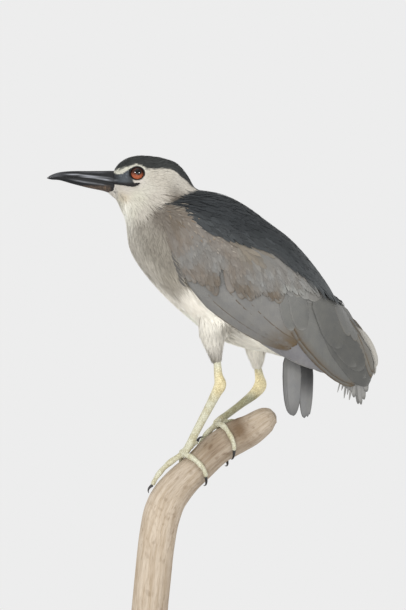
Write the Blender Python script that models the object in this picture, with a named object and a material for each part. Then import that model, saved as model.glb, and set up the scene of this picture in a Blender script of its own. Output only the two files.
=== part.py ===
"""A black-crowned night heron, mounted life-size on a length of driftwood and a plain stand.

The bird faces -Y, its left side is +X and +Z is up. The origin is the middle of the underside
of the base. Sizes in the tables are millimetres, turned into metres as each mesh is made.
"""

import math

import bmesh
import bpy
import numpy as np

MM = 0.001
GAP = 0.3  # left between two solids that touch
HALF_GAP = GAP / 2

# The body, bill to rump, as sections that fan round the throat. Each row is the section's top
# (y, z), its underside (y, z), its half width, and how much wider it is low down than high up.
BODY = np.array([
    (-125.4, 576.6, -124.6, 550.8, 8.6, 0.00),
    (-117.5, 586.5, -122.0, 545.3, 13.5, 0.08),
    (-104.5, 593.0, -119.5, 539.5, 17.5, 0.12),
    (-88.5, 594.0, -117.5, 535.0, 20.0, 0.14),
    (-70.0, 591.4, -115.5, 530.5, 22.5, 0.16),
    (-53.6, 585.2, -113.0, 525.0, 25.5, 0.18),
    (-41.8, 571.6, -111.0, 517.5, 29.0, 0.18),
    (-33.5, 557.5, -109.5, 506.5, 34.5, 0.14),
    (-21.3, 553.7, -107.5, 492.7, 42.0, 0.08),
    (-1.1, 549.2, -100.8, 477.0, 50.0, 0.04),
    (23.5, 536.4, -86.2, 456.8, 56.0, 0.00),
    (48.2, 518.4, -67.2, 435.6, 59.0, 0.00),
    (72.8, 499.4, -41.4, 412.0, 59.5, 0.00),
    (95.2, 474.8, -14.6, 391.9, 57.0, 0.00),
    (114.0, 448.0, 16.8, 379.6, 51.0, 0.00),
    (126.5, 419.0, 45.9, 374.0, 41.0, 0.00),
    (129.0, 397.0, 66.0, 368.4, 28.0, 0.00),
    (118.0, 385.0, 80.0, 371.0, 12.0, 0.00),
])
HEAD_END = 5.6  # the row where the head meets the neck
NECK_END = 8.2  # the row where the neck meets the trunk
BODY_FULLNESS = 2.3  # power of the superellipse of a section, 2 being an ellipse
BODY_SIDES = 24
RINGS_PER_ROW = 2

# The folded wings' outer surface, wrist to tip. Each row is the section's top and underside,
# its half width, and the fractions of the way down where the wing's upper and lower edges lie.
WING = np.array([
    (-11.2, 551.5, -104.2, 484.8, 46.0, 0.39, 0.46),
    (-1.1, 549.2, -100.8, 477.0, 50.0, 0.38, 0.53),
    (23.5, 536.4, -86.2, 456.8, 56.0, 0.41, 0.70),
    (48.2, 518.4, -67.2, 435.6, 59.0, 0.33, 0.79),
    (72.8, 499.4, -41.4, 412.0, 59.5, 0.20, 0.83),
    (95.2, 474.8, -14.6, 391.9, 57.0, 0.14, 0.83),
    (115.4, 447.9, 16.8, 379.6, 52.0, 0.08, 0.85),
    (131.0, 422.1, 45.9, 374.0, 46.5, 0.00, 0.87),
    (142.2, 403.1, 69.4, 351.3, 40.5, 0.00, 0.80),
    (152.3, 389.6, 94.1, 338.9, 33.0, 0.00, 0.75),
    (161.3, 376.2, 114.9, 321.8, 25.0, 0.00, 0.70),
    (165.8, 362.8, 131.0, 310.4, 17.0, 0.00, 0.66),
    (166.9, 350.4, 144.0, 300.4, 9.0, 0.00, 0.62),
])
WING_STAND = 2.6  # how far the folded wing stands proud of the body
WING_THICK = (6.0, 2.2)  # at the wrist and at the tip
WING_STATIONS = 19
WING_ACROSS = 8
FAR_WING_SLIP = (6.0, 3.0)  # how far the right wing's tip lies behind the left one's, and above
WING_BED = 1.5  # the body under a wing is cut this much deeper than the wing's inner side
CUT_OUTWARD = 14.0  # how far the wings' cutters reach past the body

# The bill: y, then the height of the culmen, of the gape and of the underside, and half width.
BILL = np.array([
    (-199.2, 569.3, 568.8, 568.3, 0.8),
    (-194.0, 572.6, 569.5, 567.0, 1.8),
    (-184.8, 575.4, 569.9, 566.2, 2.8),
    (-171.4, 576.6, 569.6, 562.4, 4.0),
    (-153.5, 576.7, 568.2, 557.8, 5.4),
    (-137.8, 576.8, 566.6, 554.6, 7.0),
    (-125.8, 576.9, 565.2, 551.4, 8.7),
])
BILL_STATIONS = 12
BILL_SIDES = 9

EYE_CENTRE = (13.9, -98.0, 573.2)
EYE_RADIUS = 8.2

# The tail hangs as a deep channel, its open side towards the legs.
TAIL_HALF_WIDTH = 19.0
TAIL_DEPTH = 30.5
TAIL_CENTRE_Y = 70.2
TAIL_ROOT_Z = 384.0
TAIL_TIP_Z = 300.4
TAIL_SPREAD = math.radians(100)
TAIL_THICK = 2.6
TAIL_FEATHERS = 10
TAIL_NOTCH = 4.0
TAIL_SIDE_LIFT = 4.0  # the outer feathers are this much shorter than the middle ones
TAIL_CORNER = 8.0  # and the outermost this much more
TAIL_DRAW_IN = 0.14  # how much the channel closes at its end

# The driftwood: the axis (y, z) and radius, from its worn end down to the flat cut.
PERCH = np.array([
    (54.6, 302.4, 8.5),
    (45.9, 298.4, 14.4),
    (29.1, 287.2, 17.8),
    (14.6, 279.8, 19.0),
    (-9.0, 265.3, 18.4),
    (-30.2, 245.2, 18.0),
    (-47.6, 229.2, 19.0),
    (-61.6, 212.2, 20.6),
    (-70.0, 194.2, 21.3),
    (-74.5, 174.6, 21.0),
    (-77.8, 151.1, 20.8),
    (-81.2, 117.5, 20.7),
    (-84.4, 85.0, 20.7),
    (-87.4, 55.0, 20.7),
])
PERCH_SIDES = 18
PERCH_RINGS = 22

# Legs as (x, y, z, radius): the feathered part, then the bare part down to the foot.
THIGHS = {
    "left": ((31.0, -14.0, 412.0, 17.5), (31.5, -13.6, 394.0, 15.0),
             (32.0, -11.6, 376.0, 8.8), (32.0, -9.2, 361.8, 4.8)),
    "right": ((-33.0, 33.0, 395.0, 13.5), (-40.0, 35.4, 377.0, 11.8),
              (-45.5, 36.6, 365.0, 8.6), (-49.0, 37.0, 354.0, 4.6)),
}
SHANKS = {
    "left": ((32.0, -9.1, 361.0, 4.1), (32.2, -7.6, 349.5, 4.8), (32.0, -5.6, 338.4, 6.8),
             (30.8, -10.2, 328.4, 5.8), (25.4, -19.6, 310.0, 4.9), (17.5, -31.0, 288.2, 4.5),
             (8.5, -42.2, 266.0, 4.5)),
    "right": ((-49.3, 37.2, 352.7, 4.0), (-52.4, 39.8, 344.8, 5.2), (-54.6, 40.6, 334.8, 7.3),
              (-50.6, 33.4, 325.2, 6.0), (-38.0, 18.5, 314.0, 4.4), (-23.0, 4.6, 304.2, 4.1),
              (-10.5, -4.6, 298.2, 4.2)),
}
LEG_SIDES = 10
KNUCKLE = 5.2

# Where each foot holds the perch: row of PERCH, and degrees round it from its upper ridge.
FEET = {"left": (5.12, 6.0), "right": (3.52, -6.0)}
# Each toe as (row, degrees) points from the foot outwards, its radius at root and end, and how
# high it arches clear of the wood.
# The last point of each is the claw's tip.
TOES = {
    "left": {
        "middle": (((5.13, 5), (6.0, 6), (6.8, 8), (7.35, 10)), (3.6, 2.6), 2.6),
        "outer": (((5.1, 12), (4.86, 62), (4.9, 112), (5.35, 166)), (3.4, 2.5), 0.4),
        "inner": (((5.14, -2), (5.5, -58), (5.75, -105), (5.8, -150)), (3.3, 2.4), 0.4),
        "hind": (((5.1, 0), (4.8, -3), (4.45, -6), (4.1, -14)), (3.3, 2.3), 0.4),
    },
    "right": {
        "middle": (((3.55, -8), (4.15, -38), (4.8, -62), (5.15, -74)), (3.6, 2.6), 0.4),
        "outer": (((3.52, -16), (3.6, -72), (3.84, -124), (4.2, -178)), (3.4, 2.5), 0.4),
        "inner": (((3.5, 2), (3.3, 50), (3.34, 104), (3.75, 152)), (3.3, 2.4), 0.4),
        "hind": (((3.45, -16), (3.1, -34), (2.75, -46), (2.4, -56)), (3.3, 2.3), 0.4),
    },
}
TOE_SIDES = 8
TOE_STATIONS = 6
CLAW_SHARE = 0.24  # of a toe's whole course
CLAW_STATIONS = 5
CLAW_SIDES = 6
CLAW_RADII = (2.0, 0.4)
CLAW_ARCH = 1.8

BASE_SIZE = (190.0, 300.0, 22.0)
BASE_CORNER = 30.0
BASE_EDGE = 3.0
ROD_RADIUS = 6.0
ROD_SIDES = 24


def make_material(name, colour, roughness, metallic=0.0):
    """A plain Principled material."""
    material = bpy.data.materials.new(name)
    material.use_nodes = True
    shader = material.node_tree.nodes["Principled BSDF"]
    shader.inputs["Base Color"].default_value = (*colour, 1.0)
    shader.inputs["Roughness"].default_value = roughness
    shader.inputs["Metallic"].default_value = metallic
    return material


def spline(rows, at):
    """The rows read at fractional row numbers, on a Catmull-Rom curve through them."""
    rows = np.asarray(rows, float)
    last = len(rows) - 1
    at = np.clip(np.asarray(at, float), 0, last)
    first = np.minimum(at.astype(int), last - 1)
    t = (at - first)[:, None]
    start, end = rows[first], rows[first + 1]
    into = (end - rows[np.maximum(first - 1, 0)]) / 2
    out = (rows[np.minimum(first + 2, last)] - start) / 2
    return (
        (2 * t**3 - 3 * t**2 + 1) * start
        + (t**3 - 2 * t**2 + t) * into
        + (3 * t**2 - 2 * t**3) * end
        + (t**3 - t**2) * out
    )


def add_object(name, mesh, material, collection):
    """Puts a bmesh, in millimetres, into the scene as one object in metres."""
    bmesh.ops.scale(mesh, vec=(MM, MM, MM), verts=mesh.verts)
    bmesh.ops.recalc_face_normals(mesh, faces=mesh.faces)
    data = bpy.data.meshes.new(name)
    mesh.to_mesh(data)
    mesh.free()
    data.shade_smooth()
    data.set_sharp_from_angle(angle=math.radians(40))
    obj = bpy.data.objects.new(name, data)
    collection.objects.link(obj)
    if material:
        data.materials.append(material)
    else:
        obj.hide_render = True
        obj.display_type = "WIRE"
    return obj


def skin_rings(mesh, rings):
    """Joins rings of equal count into a tube with a face at each end."""
    loops = [[mesh.verts.new(point) for point in ring] for ring in rings]
    for low, high in zip(loops, loops[1:]):
        for one, two, three, four in zip(low, low[1:] + low[:1], high[1:] + high[:1], high):
            mesh.faces.new((one, two, three, four))
    mesh.faces.new(loops[0])
    mesh.faces.new(loops[-1])


def loft(name, rings, material, collection):
    mesh = bmesh.new()
    skin_rings(mesh, rings)
    return add_object(name, mesh, material, collection)


def cut(obj, cutter, operation="DIFFERENCE"):
    modifier = obj.modifiers.new(cutter.name, "BOOLEAN")
    modifier.object = cutter
    modifier.operation = operation
    modifier.solver = "EXACT"


def body_oval(angle):
    """A section's outline at angles from its top: how far out to the side, and how far down."""
    power = 2 / BODY_FULLNESS
    side = np.sign(np.sin(angle)) * np.abs(np.sin(angle)) ** power
    return side, -np.sign(np.cos(angle)) * np.abs(np.cos(angle)) ** power


def body_rings(start, end, grow=0.0):
    """Sections of the body from one row to another. Each is a superellipse between its top and
    its underside, and the two end ones are drawn in by half a gap."""
    count = int(round((end - start) * RINGS_PER_ROW)) + 1
    rows = spline(BODY, np.linspace(start, end, count))
    top = rows[:, None, 0:2]
    low = rows[:, None, 2:4]
    half = (low - top) / 2
    height = np.linalg.norm(half, axis=2, keepdims=True)
    angle = np.linspace(0, 2 * math.pi, BODY_SIDES, endpoint=False)[None, :]
    side, down = body_oval(angle)
    x = (rows[:, 4:5] + grow) * side * (1 + rows[:, 5:6] * down)
    yz = (top + low) / 2 + half * (1 + grow / height) * down[..., None]
    rings = np.concatenate([x[..., None], yz], axis=2)
    forward = np.stack([-half[:, 0, 1], half[:, 0, 0]], axis=1) / height[:, 0]
    if start > 0:
        rings[0, :, 1:] += forward[0] * (HALF_GAP - grow)
    if end < len(BODY) - 1:
        rings[-1, :, 1:] -= forward[-1] * (HALF_GAP - grow)
    return rings


def wing_surface(at, across, slip):
    """Points of the folded wings' outer side, at row numbers and at shares of the way from the
    upper edge to the lower one. Each section is the body's superellipse, read by its height."""
    rows = spline(WING, at)
    tipward = np.clip((at - 6) / (len(WING) - 7), 0, 1)[:, None] ** 1.5
    top = rows[:, 0:2] + tipward * np.array(slip)
    low = rows[:, 2:4] + tipward * np.array(slip)
    level = np.clip(1 - 2 * rows[:, 5:7], -1, 1)
    turn = np.arccos(np.sign(level) * np.abs(level) ** (BODY_FULLNESS / 2))
    side, down = body_oval(turn[:, 0:1] + (turn[:, 1:2] - turn[:, 0:1]) * across[None, :])
    x = rows[:, 4:5] * side
    yz = (top + low)[:, None] / 2 + (low - top)[:, None] / 2 * down[..., None]
    return np.concatenate([x[..., None], yz], axis=2)


def outward_of(grid):
    """Unit normals of a grid of points, on the side away from the middle plane."""
    along = np.gradient(grid, axis=0)
    down = np.gradient(grid, axis=1)
    normal = np.cross(along, down)
    normal /= np.linalg.norm(normal, axis=2, keepdims=True)
    return normal * np.sign(normal[..., 0:1].mean())


def add_wing(name, side, material, collection, cutter=False):
    """A folded wing, a curved plate whose inner side follows the body. The cutter is the same
    plate a gap larger, and reaches far outwards."""
    at = np.linspace(0, len(WING) - 1, WING_STATIONS)
    across = np.linspace(0, 1, WING_ACROSS)
    slip = FAR_WING_SLIP if side == "right" else (0.0, 0.0)
    grid = wing_surface(at, across, slip)
    normal = outward_of(grid)
    if cutter:
        for edge, inward in ((grid[:, 0], grid[:, 1]), (grid[:, -1], grid[:, -2]),
                             (grid[0], grid[1]), (grid[-1], grid[-2])):
            step = edge - inward
            edge += step / np.linalg.norm(step, axis=1, keepdims=True) * WING_BED
    share = (at / at[-1])[:, None, None]
    thick = WING_THICK[0] + (WING_THICK[1] - WING_THICK[0]) * share
    outer = grid + normal * (CUT_OUTWARD if cutter else WING_STAND * (1 - 0.6 * share))
    inner = grid + normal * (WING_STAND * (1 - 0.6 * share) - thick - (WING_BED if cutter else 0))
    nearest = -2.0 if cutter else HALF_GAP
    outer[..., 0] = np.maximum(outer[..., 0], nearest)
    inner[..., 0] = np.maximum(inner[..., 0], nearest)
    if side == "right":
        outer[..., 0] *= -1
        inner[..., 0] *= -1
    mesh = bmesh.new()
    rings = np.concatenate([outer, inner[:, ::-1]], axis=1)
    skin_rings(mesh, rings)
    return add_object(name, mesh, material, collection)


def add_bill(name, upper, material, collection):
    """Half of the bill: a flat face along the gape, and an arch up to the culmen or down to the
    underside."""
    rows = spline(BILL, np.linspace(0, len(BILL) - 1, BILL_STATIONS))
    y, culmen, gape, under, half = rows.T[..., None]
    gape = gape + (HALF_GAP if upper else -HALF_GAP)
    edge = culmen if upper else under
    angle = np.linspace(0, math.pi, BILL_SIDES)[None, :]
    x = half * np.cos(angle)
    z = gape + (edge - gape) * np.sin(angle) ** (0.85 if upper else 1.0)
    rings = np.stack([x, np.broadcast_to(y, x.shape), z], axis=2)
    loft(name, rings, material, collection)


def add_ball(name, centre, radius, material, collection, sides=16, rings=10):
    mesh = bmesh.new()
    bmesh.ops.create_uvsphere(mesh, u_segments=sides, v_segments=rings, radius=radius)
    bmesh.ops.translate(mesh, vec=centre, verts=mesh.verts)
    return add_object(name, mesh, material, collection)


def perch_frame(at):
    """Axis point, direction of the upper ridge and radius of the perch at row numbers."""
    rows = spline(PERCH, at)
    ahead, behind = spline(PERCH, at + 0.05), spline(PERCH, at - 0.05)
    run = (ahead - behind)[:, :2]
    run /= np.linalg.norm(run, axis=1, keepdims=True)
    ridge = np.stack([run[:, 1], -run[:, 0]], axis=1)
    return rows[:, :2], ridge, rows[:, 2]


def perch_point(at, degrees, lift):
    """Points at a height over the perch's round surface."""
    axis, ridge, radius = perch_frame(at)
    turn = np.radians(degrees)
    reach = (radius + lift)[:, None]
    x = reach * np.sin(turn)[:, None]
    yz = axis + reach * np.cos(turn)[:, None] * ridge
    return np.concatenate([x, yz], axis=1)


def add_perch(material, collection):
    """The driftwood: rings round its axis, the last one level so that it stands on the rod."""
    at = np.linspace(0, len(PERCH) - 1, PERCH_RINGS)
    axis, ridge, radius = perch_frame(at)
    ridge[-1] = (-1.0, 0.0)
    angle = np.linspace(0, 2 * math.pi, PERCH_SIDES, endpoint=False)
    x = radius[:, None] * np.sin(angle)
    yz = axis[:, None] + (radius[:, None] * np.cos(angle))[..., None] * ridge[:, None]
    rings = np.concatenate([x[..., None], yz], axis=2)
    nose = rings[0] + (rings[0].mean(0) - rings[0]) * 0.45 + (0.0, 3.2, 1.6)
    loft("perch", np.concatenate([nose[None], rings]), material, collection)


def course_run(points):
    """Unit directions along a path."""
    run = np.gradient(points, axis=0)
    return run / np.linalg.norm(run, axis=1, keepdims=True)


def tube_rings(points, radii, sides, run=None):
    """Round rings square to a path, turned alike along it."""
    run = course_run(points) if run is None else run
    side = np.cross(run, (0.31, 0.95, 0.05))
    side /= np.linalg.norm(side, axis=1, keepdims=True)
    other = np.cross(run, side)
    angle = np.linspace(0, 2 * math.pi, sides, endpoint=False)[None, :, None]
    spoke = side[:, None] * np.cos(angle) + other[:, None] * np.sin(angle)
    return points[:, None] + spoke * np.asarray(radii)[:, None, None]


def toe_course(points, radii, arch, share):
    """Centres of a toe and its claw over the perch. The claw arches up and comes down again."""
    rows = spline(points, share * (len(points) - 1))
    toe = np.clip(share / (1 - CLAW_SHARE), 0, 1)
    claw = np.clip((share - 1 + CLAW_SHARE) / CLAW_SHARE, 0, 1)
    radius = radii[0] + (radii[1] - radii[0]) * toe
    knuckles = 1 + 0.10 * np.cos(toe * 3 * 2 * math.pi)
    lift = radius * 1.1 + GAP + arch * np.sin(toe * math.pi)
    lift += CLAW_ARCH * np.sin(claw * math.pi) - 1.2 * claw
    return perch_point(rows[:, 0], rows[:, 1], lift), radius * knuckles


def add_foot(side, skin, horn, collection, cutters):
    """A foot's four toes and knuckle in one solid, and its four claws."""
    where, degrees = FEET[side]
    centre = perch_point(np.array([where]), np.array([degrees]), np.array([KNUCKLE + GAP]))[0]
    foot = add_ball(f"foot_{side}", centre, KNUCKLE, skin, collection, 12, 8)
    last = TOE_STATIONS - 1
    share = np.concatenate([np.linspace(0, 1 - CLAW_SHARE, TOE_STATIONS),
                            np.linspace(1 - CLAW_SHARE, 1, CLAW_STATIONS)[1:]])
    for toe, (points, radii, arch) in TOES[side].items():
        course, radius = toe_course(points, radii, arch, share)
        run = course_run(course)
        rings = tube_rings(course[: last + 1], radius[: last + 1], TOE_SIDES, run[: last + 1])
        cut(foot, loft(f"toe_{side}_{toe}", rings, None, cutters), "UNION")
        taper = np.linspace(0, 1, CLAW_STATIONS) ** 1.3
        radius = CLAW_RADII[0] + (CLAW_RADII[1] - CLAW_RADII[0]) * taper
        course[last] += run[last] * 1.5 * GAP
        rings = tube_rings(course[last:], radius, CLAW_SIDES, run[last:])
        loft(f"claw_{side}_{toe}", rings, horn, collection)
    return centre


def add_leg(side, coat, skin, horn, collection, cutters):
    """Feathered thigh, bare shank and foot, each cut back a gap from what it meets."""
    knuckle = add_foot(side, skin, horn, collection, cutters)
    rows = spline(THIGHS[side], np.linspace(0, len(THIGHS[side]) - 1, 7))
    thigh = loft(f"thigh_{side}", tube_rings(rows[:, :3], rows[:, 3], 14), coat, collection)
    above = np.array(SHANKS[side][-1][:3]) - knuckle
    end = knuckle + above / np.linalg.norm(above) * KNUCKLE * 0.4
    table = (*SHANKS[side], (*end, KNUCKLE * 0.68))
    rows = spline(table, np.linspace(0, len(table) - 1, 17))
    shank = loft(f"shank_{side}", tube_rings(rows[:, :3], rows[:, 3], LEG_SIDES), skin, collection)
    room = add_ball(f"foot_room_{side}", knuckle, KNUCKLE + GAP, None, cutters, 12, 8)
    for toe, (points, radii, arch) in TOES[side].items():
        course, radius = toe_course(points, radii, arch, np.linspace(0, 0.5, 5))
        run = course_run(course)
        course[0] -= run[0] * 2 * GAP
        rings = tube_rings(course, radius + 2 * GAP, TOE_SIDES, run)
        cut(room, loft(f"toe_room_{side}_{toe}", rings, None, cutters), "UNION")
    cut(shank, room)
    return thigh


def add_tail(material, collection):
    """The hanging tail: a channel on part of an ellipse, its end scalloped into feather tips and
    drawn in at the root."""
    turn = np.linspace(-1, 1, TAIL_FEATHERS * 3 + 1)[None, :]
    down = np.linspace(0, 1, 5)[:, None] ** 0.8
    tips = np.abs(np.sin(turn * math.pi * TAIL_FEATHERS / 2)) ** 0.6
    end = TAIL_TIP_Z + TAIL_NOTCH * (1 - tips) + TAIL_SIDE_LIFT * turn**2 + TAIL_CORNER * turn**8
    z = TAIL_ROOT_Z + (end - TAIL_ROOT_Z) * down
    open_out = 0.72 + 0.28 * np.sin(np.clip(down * 2.2, 0, 1) * math.pi / 2)
    open_out -= TAIL_DRAW_IN * down**5
    angle = turn * TAIL_SPREAD
    walls = []
    for inset in (0.0, TAIL_THICK):
        x = (TAIL_HALF_WIDTH - inset) * open_out * np.sin(angle)
        y = TAIL_CENTRE_Y + (TAIL_DEPTH - inset) * open_out * np.cos(angle)
        walls.append(np.stack([x, y, z + 0 * x], axis=2))
    rings = np.concatenate([walls[0], walls[1][:, ::-1]], axis=1)
    return loft("tail", rings, material, collection)


def add_base(wood, steel, collection):
    """The stand: a round-cornered board and the rod between it and the perch."""
    mesh = bmesh.new()
    bmesh.ops.create_cube(mesh, size=1)
    bmesh.ops.scale(mesh, vec=BASE_SIZE, verts=mesh.verts)
    bmesh.ops.translate(mesh, vec=(0, 0, BASE_SIZE[2] / 2), verts=mesh.verts)
    corners = [e for e in mesh.edges if abs(e.verts[0].co.z - e.verts[1].co.z) > BASE_SIZE[2] / 2]
    bmesh.ops.bevel(mesh, geom=corners, offset=BASE_CORNER, segments=5, affect="EDGES", profile=0.5)
    rim = [e for e in mesh.edges if min(v.co.z for v in e.verts) > BASE_SIZE[2] - 0.01]
    bmesh.ops.bevel(mesh, geom=rim, offset=BASE_EDGE, segments=2, affect="EDGES", profile=0.5)
    add_object("stand_base", mesh, wood, collection)
    low, high = BASE_SIZE[2] + GAP, PERCH[-1, 1] - GAP
    mesh = bmesh.new()
    bmesh.ops.create_cone(mesh, cap_ends=True, segments=ROD_SIDES, radius1=ROD_RADIUS,
                          radius2=ROD_RADIUS, depth=high - low)
    bmesh.ops.translate(mesh, vec=(0, PERCH[-1, 0], (low + high) / 2), verts=mesh.verts)
    add_object("stand_rod", mesh, steel, collection)


def main():
    for obj in list(bpy.data.objects):
        bpy.data.objects.remove(obj)
    parts = bpy.data.collections.new("night_heron")
    cutters = bpy.data.collections.new("cutters")
    for collection in (parts, cutters):
        bpy.context.scene.collection.children.link(collection)

    cap = make_material("cap_feather", (0.06, 0.062, 0.06), 0.6)
    cream = make_material("pale_feather", (0.66, 0.64, 0.56), 0.8)
    mantle = make_material("mantle_feather", (0.055, 0.062, 0.064), 0.55)
    grey = make_material("wing_feather", (0.24, 0.235, 0.215), 0.7)
    slate = make_material("bill_horn", (0.07, 0.07, 0.07), 0.3)
    amber = make_material("eye_glass", (0.35, 0.06, 0.03), 0.05)
    yellow = make_material("leg_skin", (0.66, 0.60, 0.42), 0.5)
    black = make_material("claw_horn", (0.02, 0.02, 0.02), 0.3)
    drift = make_material("driftwood", (0.42, 0.34, 0.25), 0.75)
    wood = make_material("stand_wood", (0.10, 0.06, 0.035), 0.4)
    steel = make_material("stand_steel", (0.55, 0.55, 0.55), 0.3, 1.0)

    add_bill("bill_upper", True, slate, parts)
    add_bill("bill_lower", False, slate, parts)
    head = loft("head", body_rings(0, HEAD_END), cap, parts)
    loft("neck", body_rings(HEAD_END, NECK_END), cream, parts)
    trunk = loft("trunk", body_rings(NECK_END, len(BODY) - 1), mantle, parts)
    inside = loft("body_room", body_rings(1, len(BODY) - 1, GAP), None, cutters)
    for side, sign in (("left", 1), ("right", -1)):
        centre = (EYE_CENTRE[0] * sign, *EYE_CENTRE[1:])
        add_ball(f"eye_{side}", centre, EYE_RADIUS, amber, parts, 16, 9)
        cut(head, add_ball(f"socket_{side}", centre, EYE_RADIUS + GAP, None, cutters, 16, 9))
        add_wing(f"wing_{side}", side, grey, parts)
        room = add_wing(f"wing_room_{side}", side, None, cutters, cutter=True)
        cut(trunk, room)
        thigh = add_leg(side, cream, yellow, black, parts, cutters)
        cut(thigh, inside)
        cut(thigh, room)
    cut(add_tail(grey, parts), inside)
    add_perch(drift, parts)
    add_base(wood, steel, parts)


main()
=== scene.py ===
"""A black-crowned night heron mounted on driftwood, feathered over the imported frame.

The bird faces -Y with its left side at +X. Tables are in millimetres, meshes in metres.
"""

import math
from collections import namedtuple

import bmesh
import bpy
import numpy as np
from bpy.props import FloatProperty, FloatVectorProperty, IntProperty, PointerProperty
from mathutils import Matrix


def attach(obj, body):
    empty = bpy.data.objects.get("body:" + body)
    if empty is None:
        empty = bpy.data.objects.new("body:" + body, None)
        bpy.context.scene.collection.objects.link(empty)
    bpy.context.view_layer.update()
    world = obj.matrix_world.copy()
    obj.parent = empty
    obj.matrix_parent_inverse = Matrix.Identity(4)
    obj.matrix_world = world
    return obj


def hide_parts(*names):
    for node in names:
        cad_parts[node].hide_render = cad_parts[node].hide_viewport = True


bl_info = {
    "name": "Night Heron Mount",
    "version": (1, 0, 0),
    "blender": (4, 5, 0),
    "location": "View3D > Sidebar > Heron",
    "description": "Feathers, bare parts, driftwood and stand of a mounted night heron",
    "category": "Object",
}

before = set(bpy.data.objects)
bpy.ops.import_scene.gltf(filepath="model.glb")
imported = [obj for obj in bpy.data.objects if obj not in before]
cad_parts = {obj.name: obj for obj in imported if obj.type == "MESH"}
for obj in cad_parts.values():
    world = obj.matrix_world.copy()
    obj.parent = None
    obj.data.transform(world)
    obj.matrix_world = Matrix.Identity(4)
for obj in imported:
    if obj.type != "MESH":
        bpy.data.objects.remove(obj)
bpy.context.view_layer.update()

MM = 0.001
BODY_NODES = ("head", "neck", "trunk", "thigh_left", "thigh_right",
              "shank_left", "shank_right", "foot_left", "foot_right")
SIDES = {"left": 1, "right": -1}

# Sections of the body from the bill to the rump: top (y, z), underside (y, z), half width, and
# how much wider the section is low down than high up.
BODY = np.array([
    (-125.4, 576.6, -124.6, 550.8, 8.6, 0), (-117.5, 586.5, -122, 545.3, 13.5, 0.08),
    (-104.5, 593, -119.5, 539.5, 17.5, 0.12), (-88.5, 594, -117.5, 535, 20, 0.14),
    (-70, 591.4, -115.5, 530.5, 22.5, 0.16), (-53.6, 585.2, -113, 525, 25.5, 0.18),
    (-41.8, 571.6, -111, 517.5, 29, 0.18), (-33.5, 557.5, -109.5, 506.5, 34.5, 0.14),
    (-21.3, 553.7, -107.5, 492.7, 42, 0.08), (-1.1, 549.2, -100.8, 477, 50, 0.04),
    (23.5, 536.4, -86.2, 456.8, 56, 0), (48.2, 518.4, -67.2, 435.6, 59, 0),
    (72.8, 499.4, -41.4, 412, 59.5, 0), (95.2, 474.8, -14.6, 391.9, 57, 0),
    (114, 448, 16.8, 379.6, 51, 0), (126.5, 419, 45.9, 374, 41, 0), (129, 397, 66, 368.4, 28, 0),
    (118, 385, 80, 371, 12, 0),
])
FULLNESS = 2.3  # power of a section's superellipse

# Sections of the folded wings' outer side, and the shares of the way down of its two edges.
WING = np.array([
    (-11.2, 551.5, -104.2, 484.8, 46, 0.39, 0.46), (-1.1, 549.2, -100.8, 477, 50, 0.38, 0.53),
    (23.5, 536.4, -86.2, 456.8, 56, 0.41, 0.7), (48.2, 518.4, -67.2, 435.6, 59, 0.33, 0.79),
    (72.8, 499.4, -41.4, 412, 59.5, 0.2, 0.83), (95.2, 474.8, -14.6, 391.9, 57, 0.14, 0.83),
    (115.4, 447.9, 16.8, 379.6, 52, 0.08, 0.85), (131, 422.1, 45.9, 374, 46.5, 0, 0.87),
    (142.2, 403.1, 69.4, 351.3, 40.5, 0, 0.8), (152.3, 389.6, 94.1, 338.9, 33, 0, 0.75),
    (161.3, 376.2, 114.9, 321.8, 25, 0, 0.7), (165.8, 362.8, 131, 310.4, 17, 0, 0.66),
    (166.9, 350.4, 144, 300.4, 9, 0, 0.62),
])
WING_STAND = 2.6  # how far the folded wing stands proud of the body at the wrist
WING_THICK = (6, 2.2)
FAR_SLIP = np.array((4, 2))  # the right wing's tip lies this much further back, and higher

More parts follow.
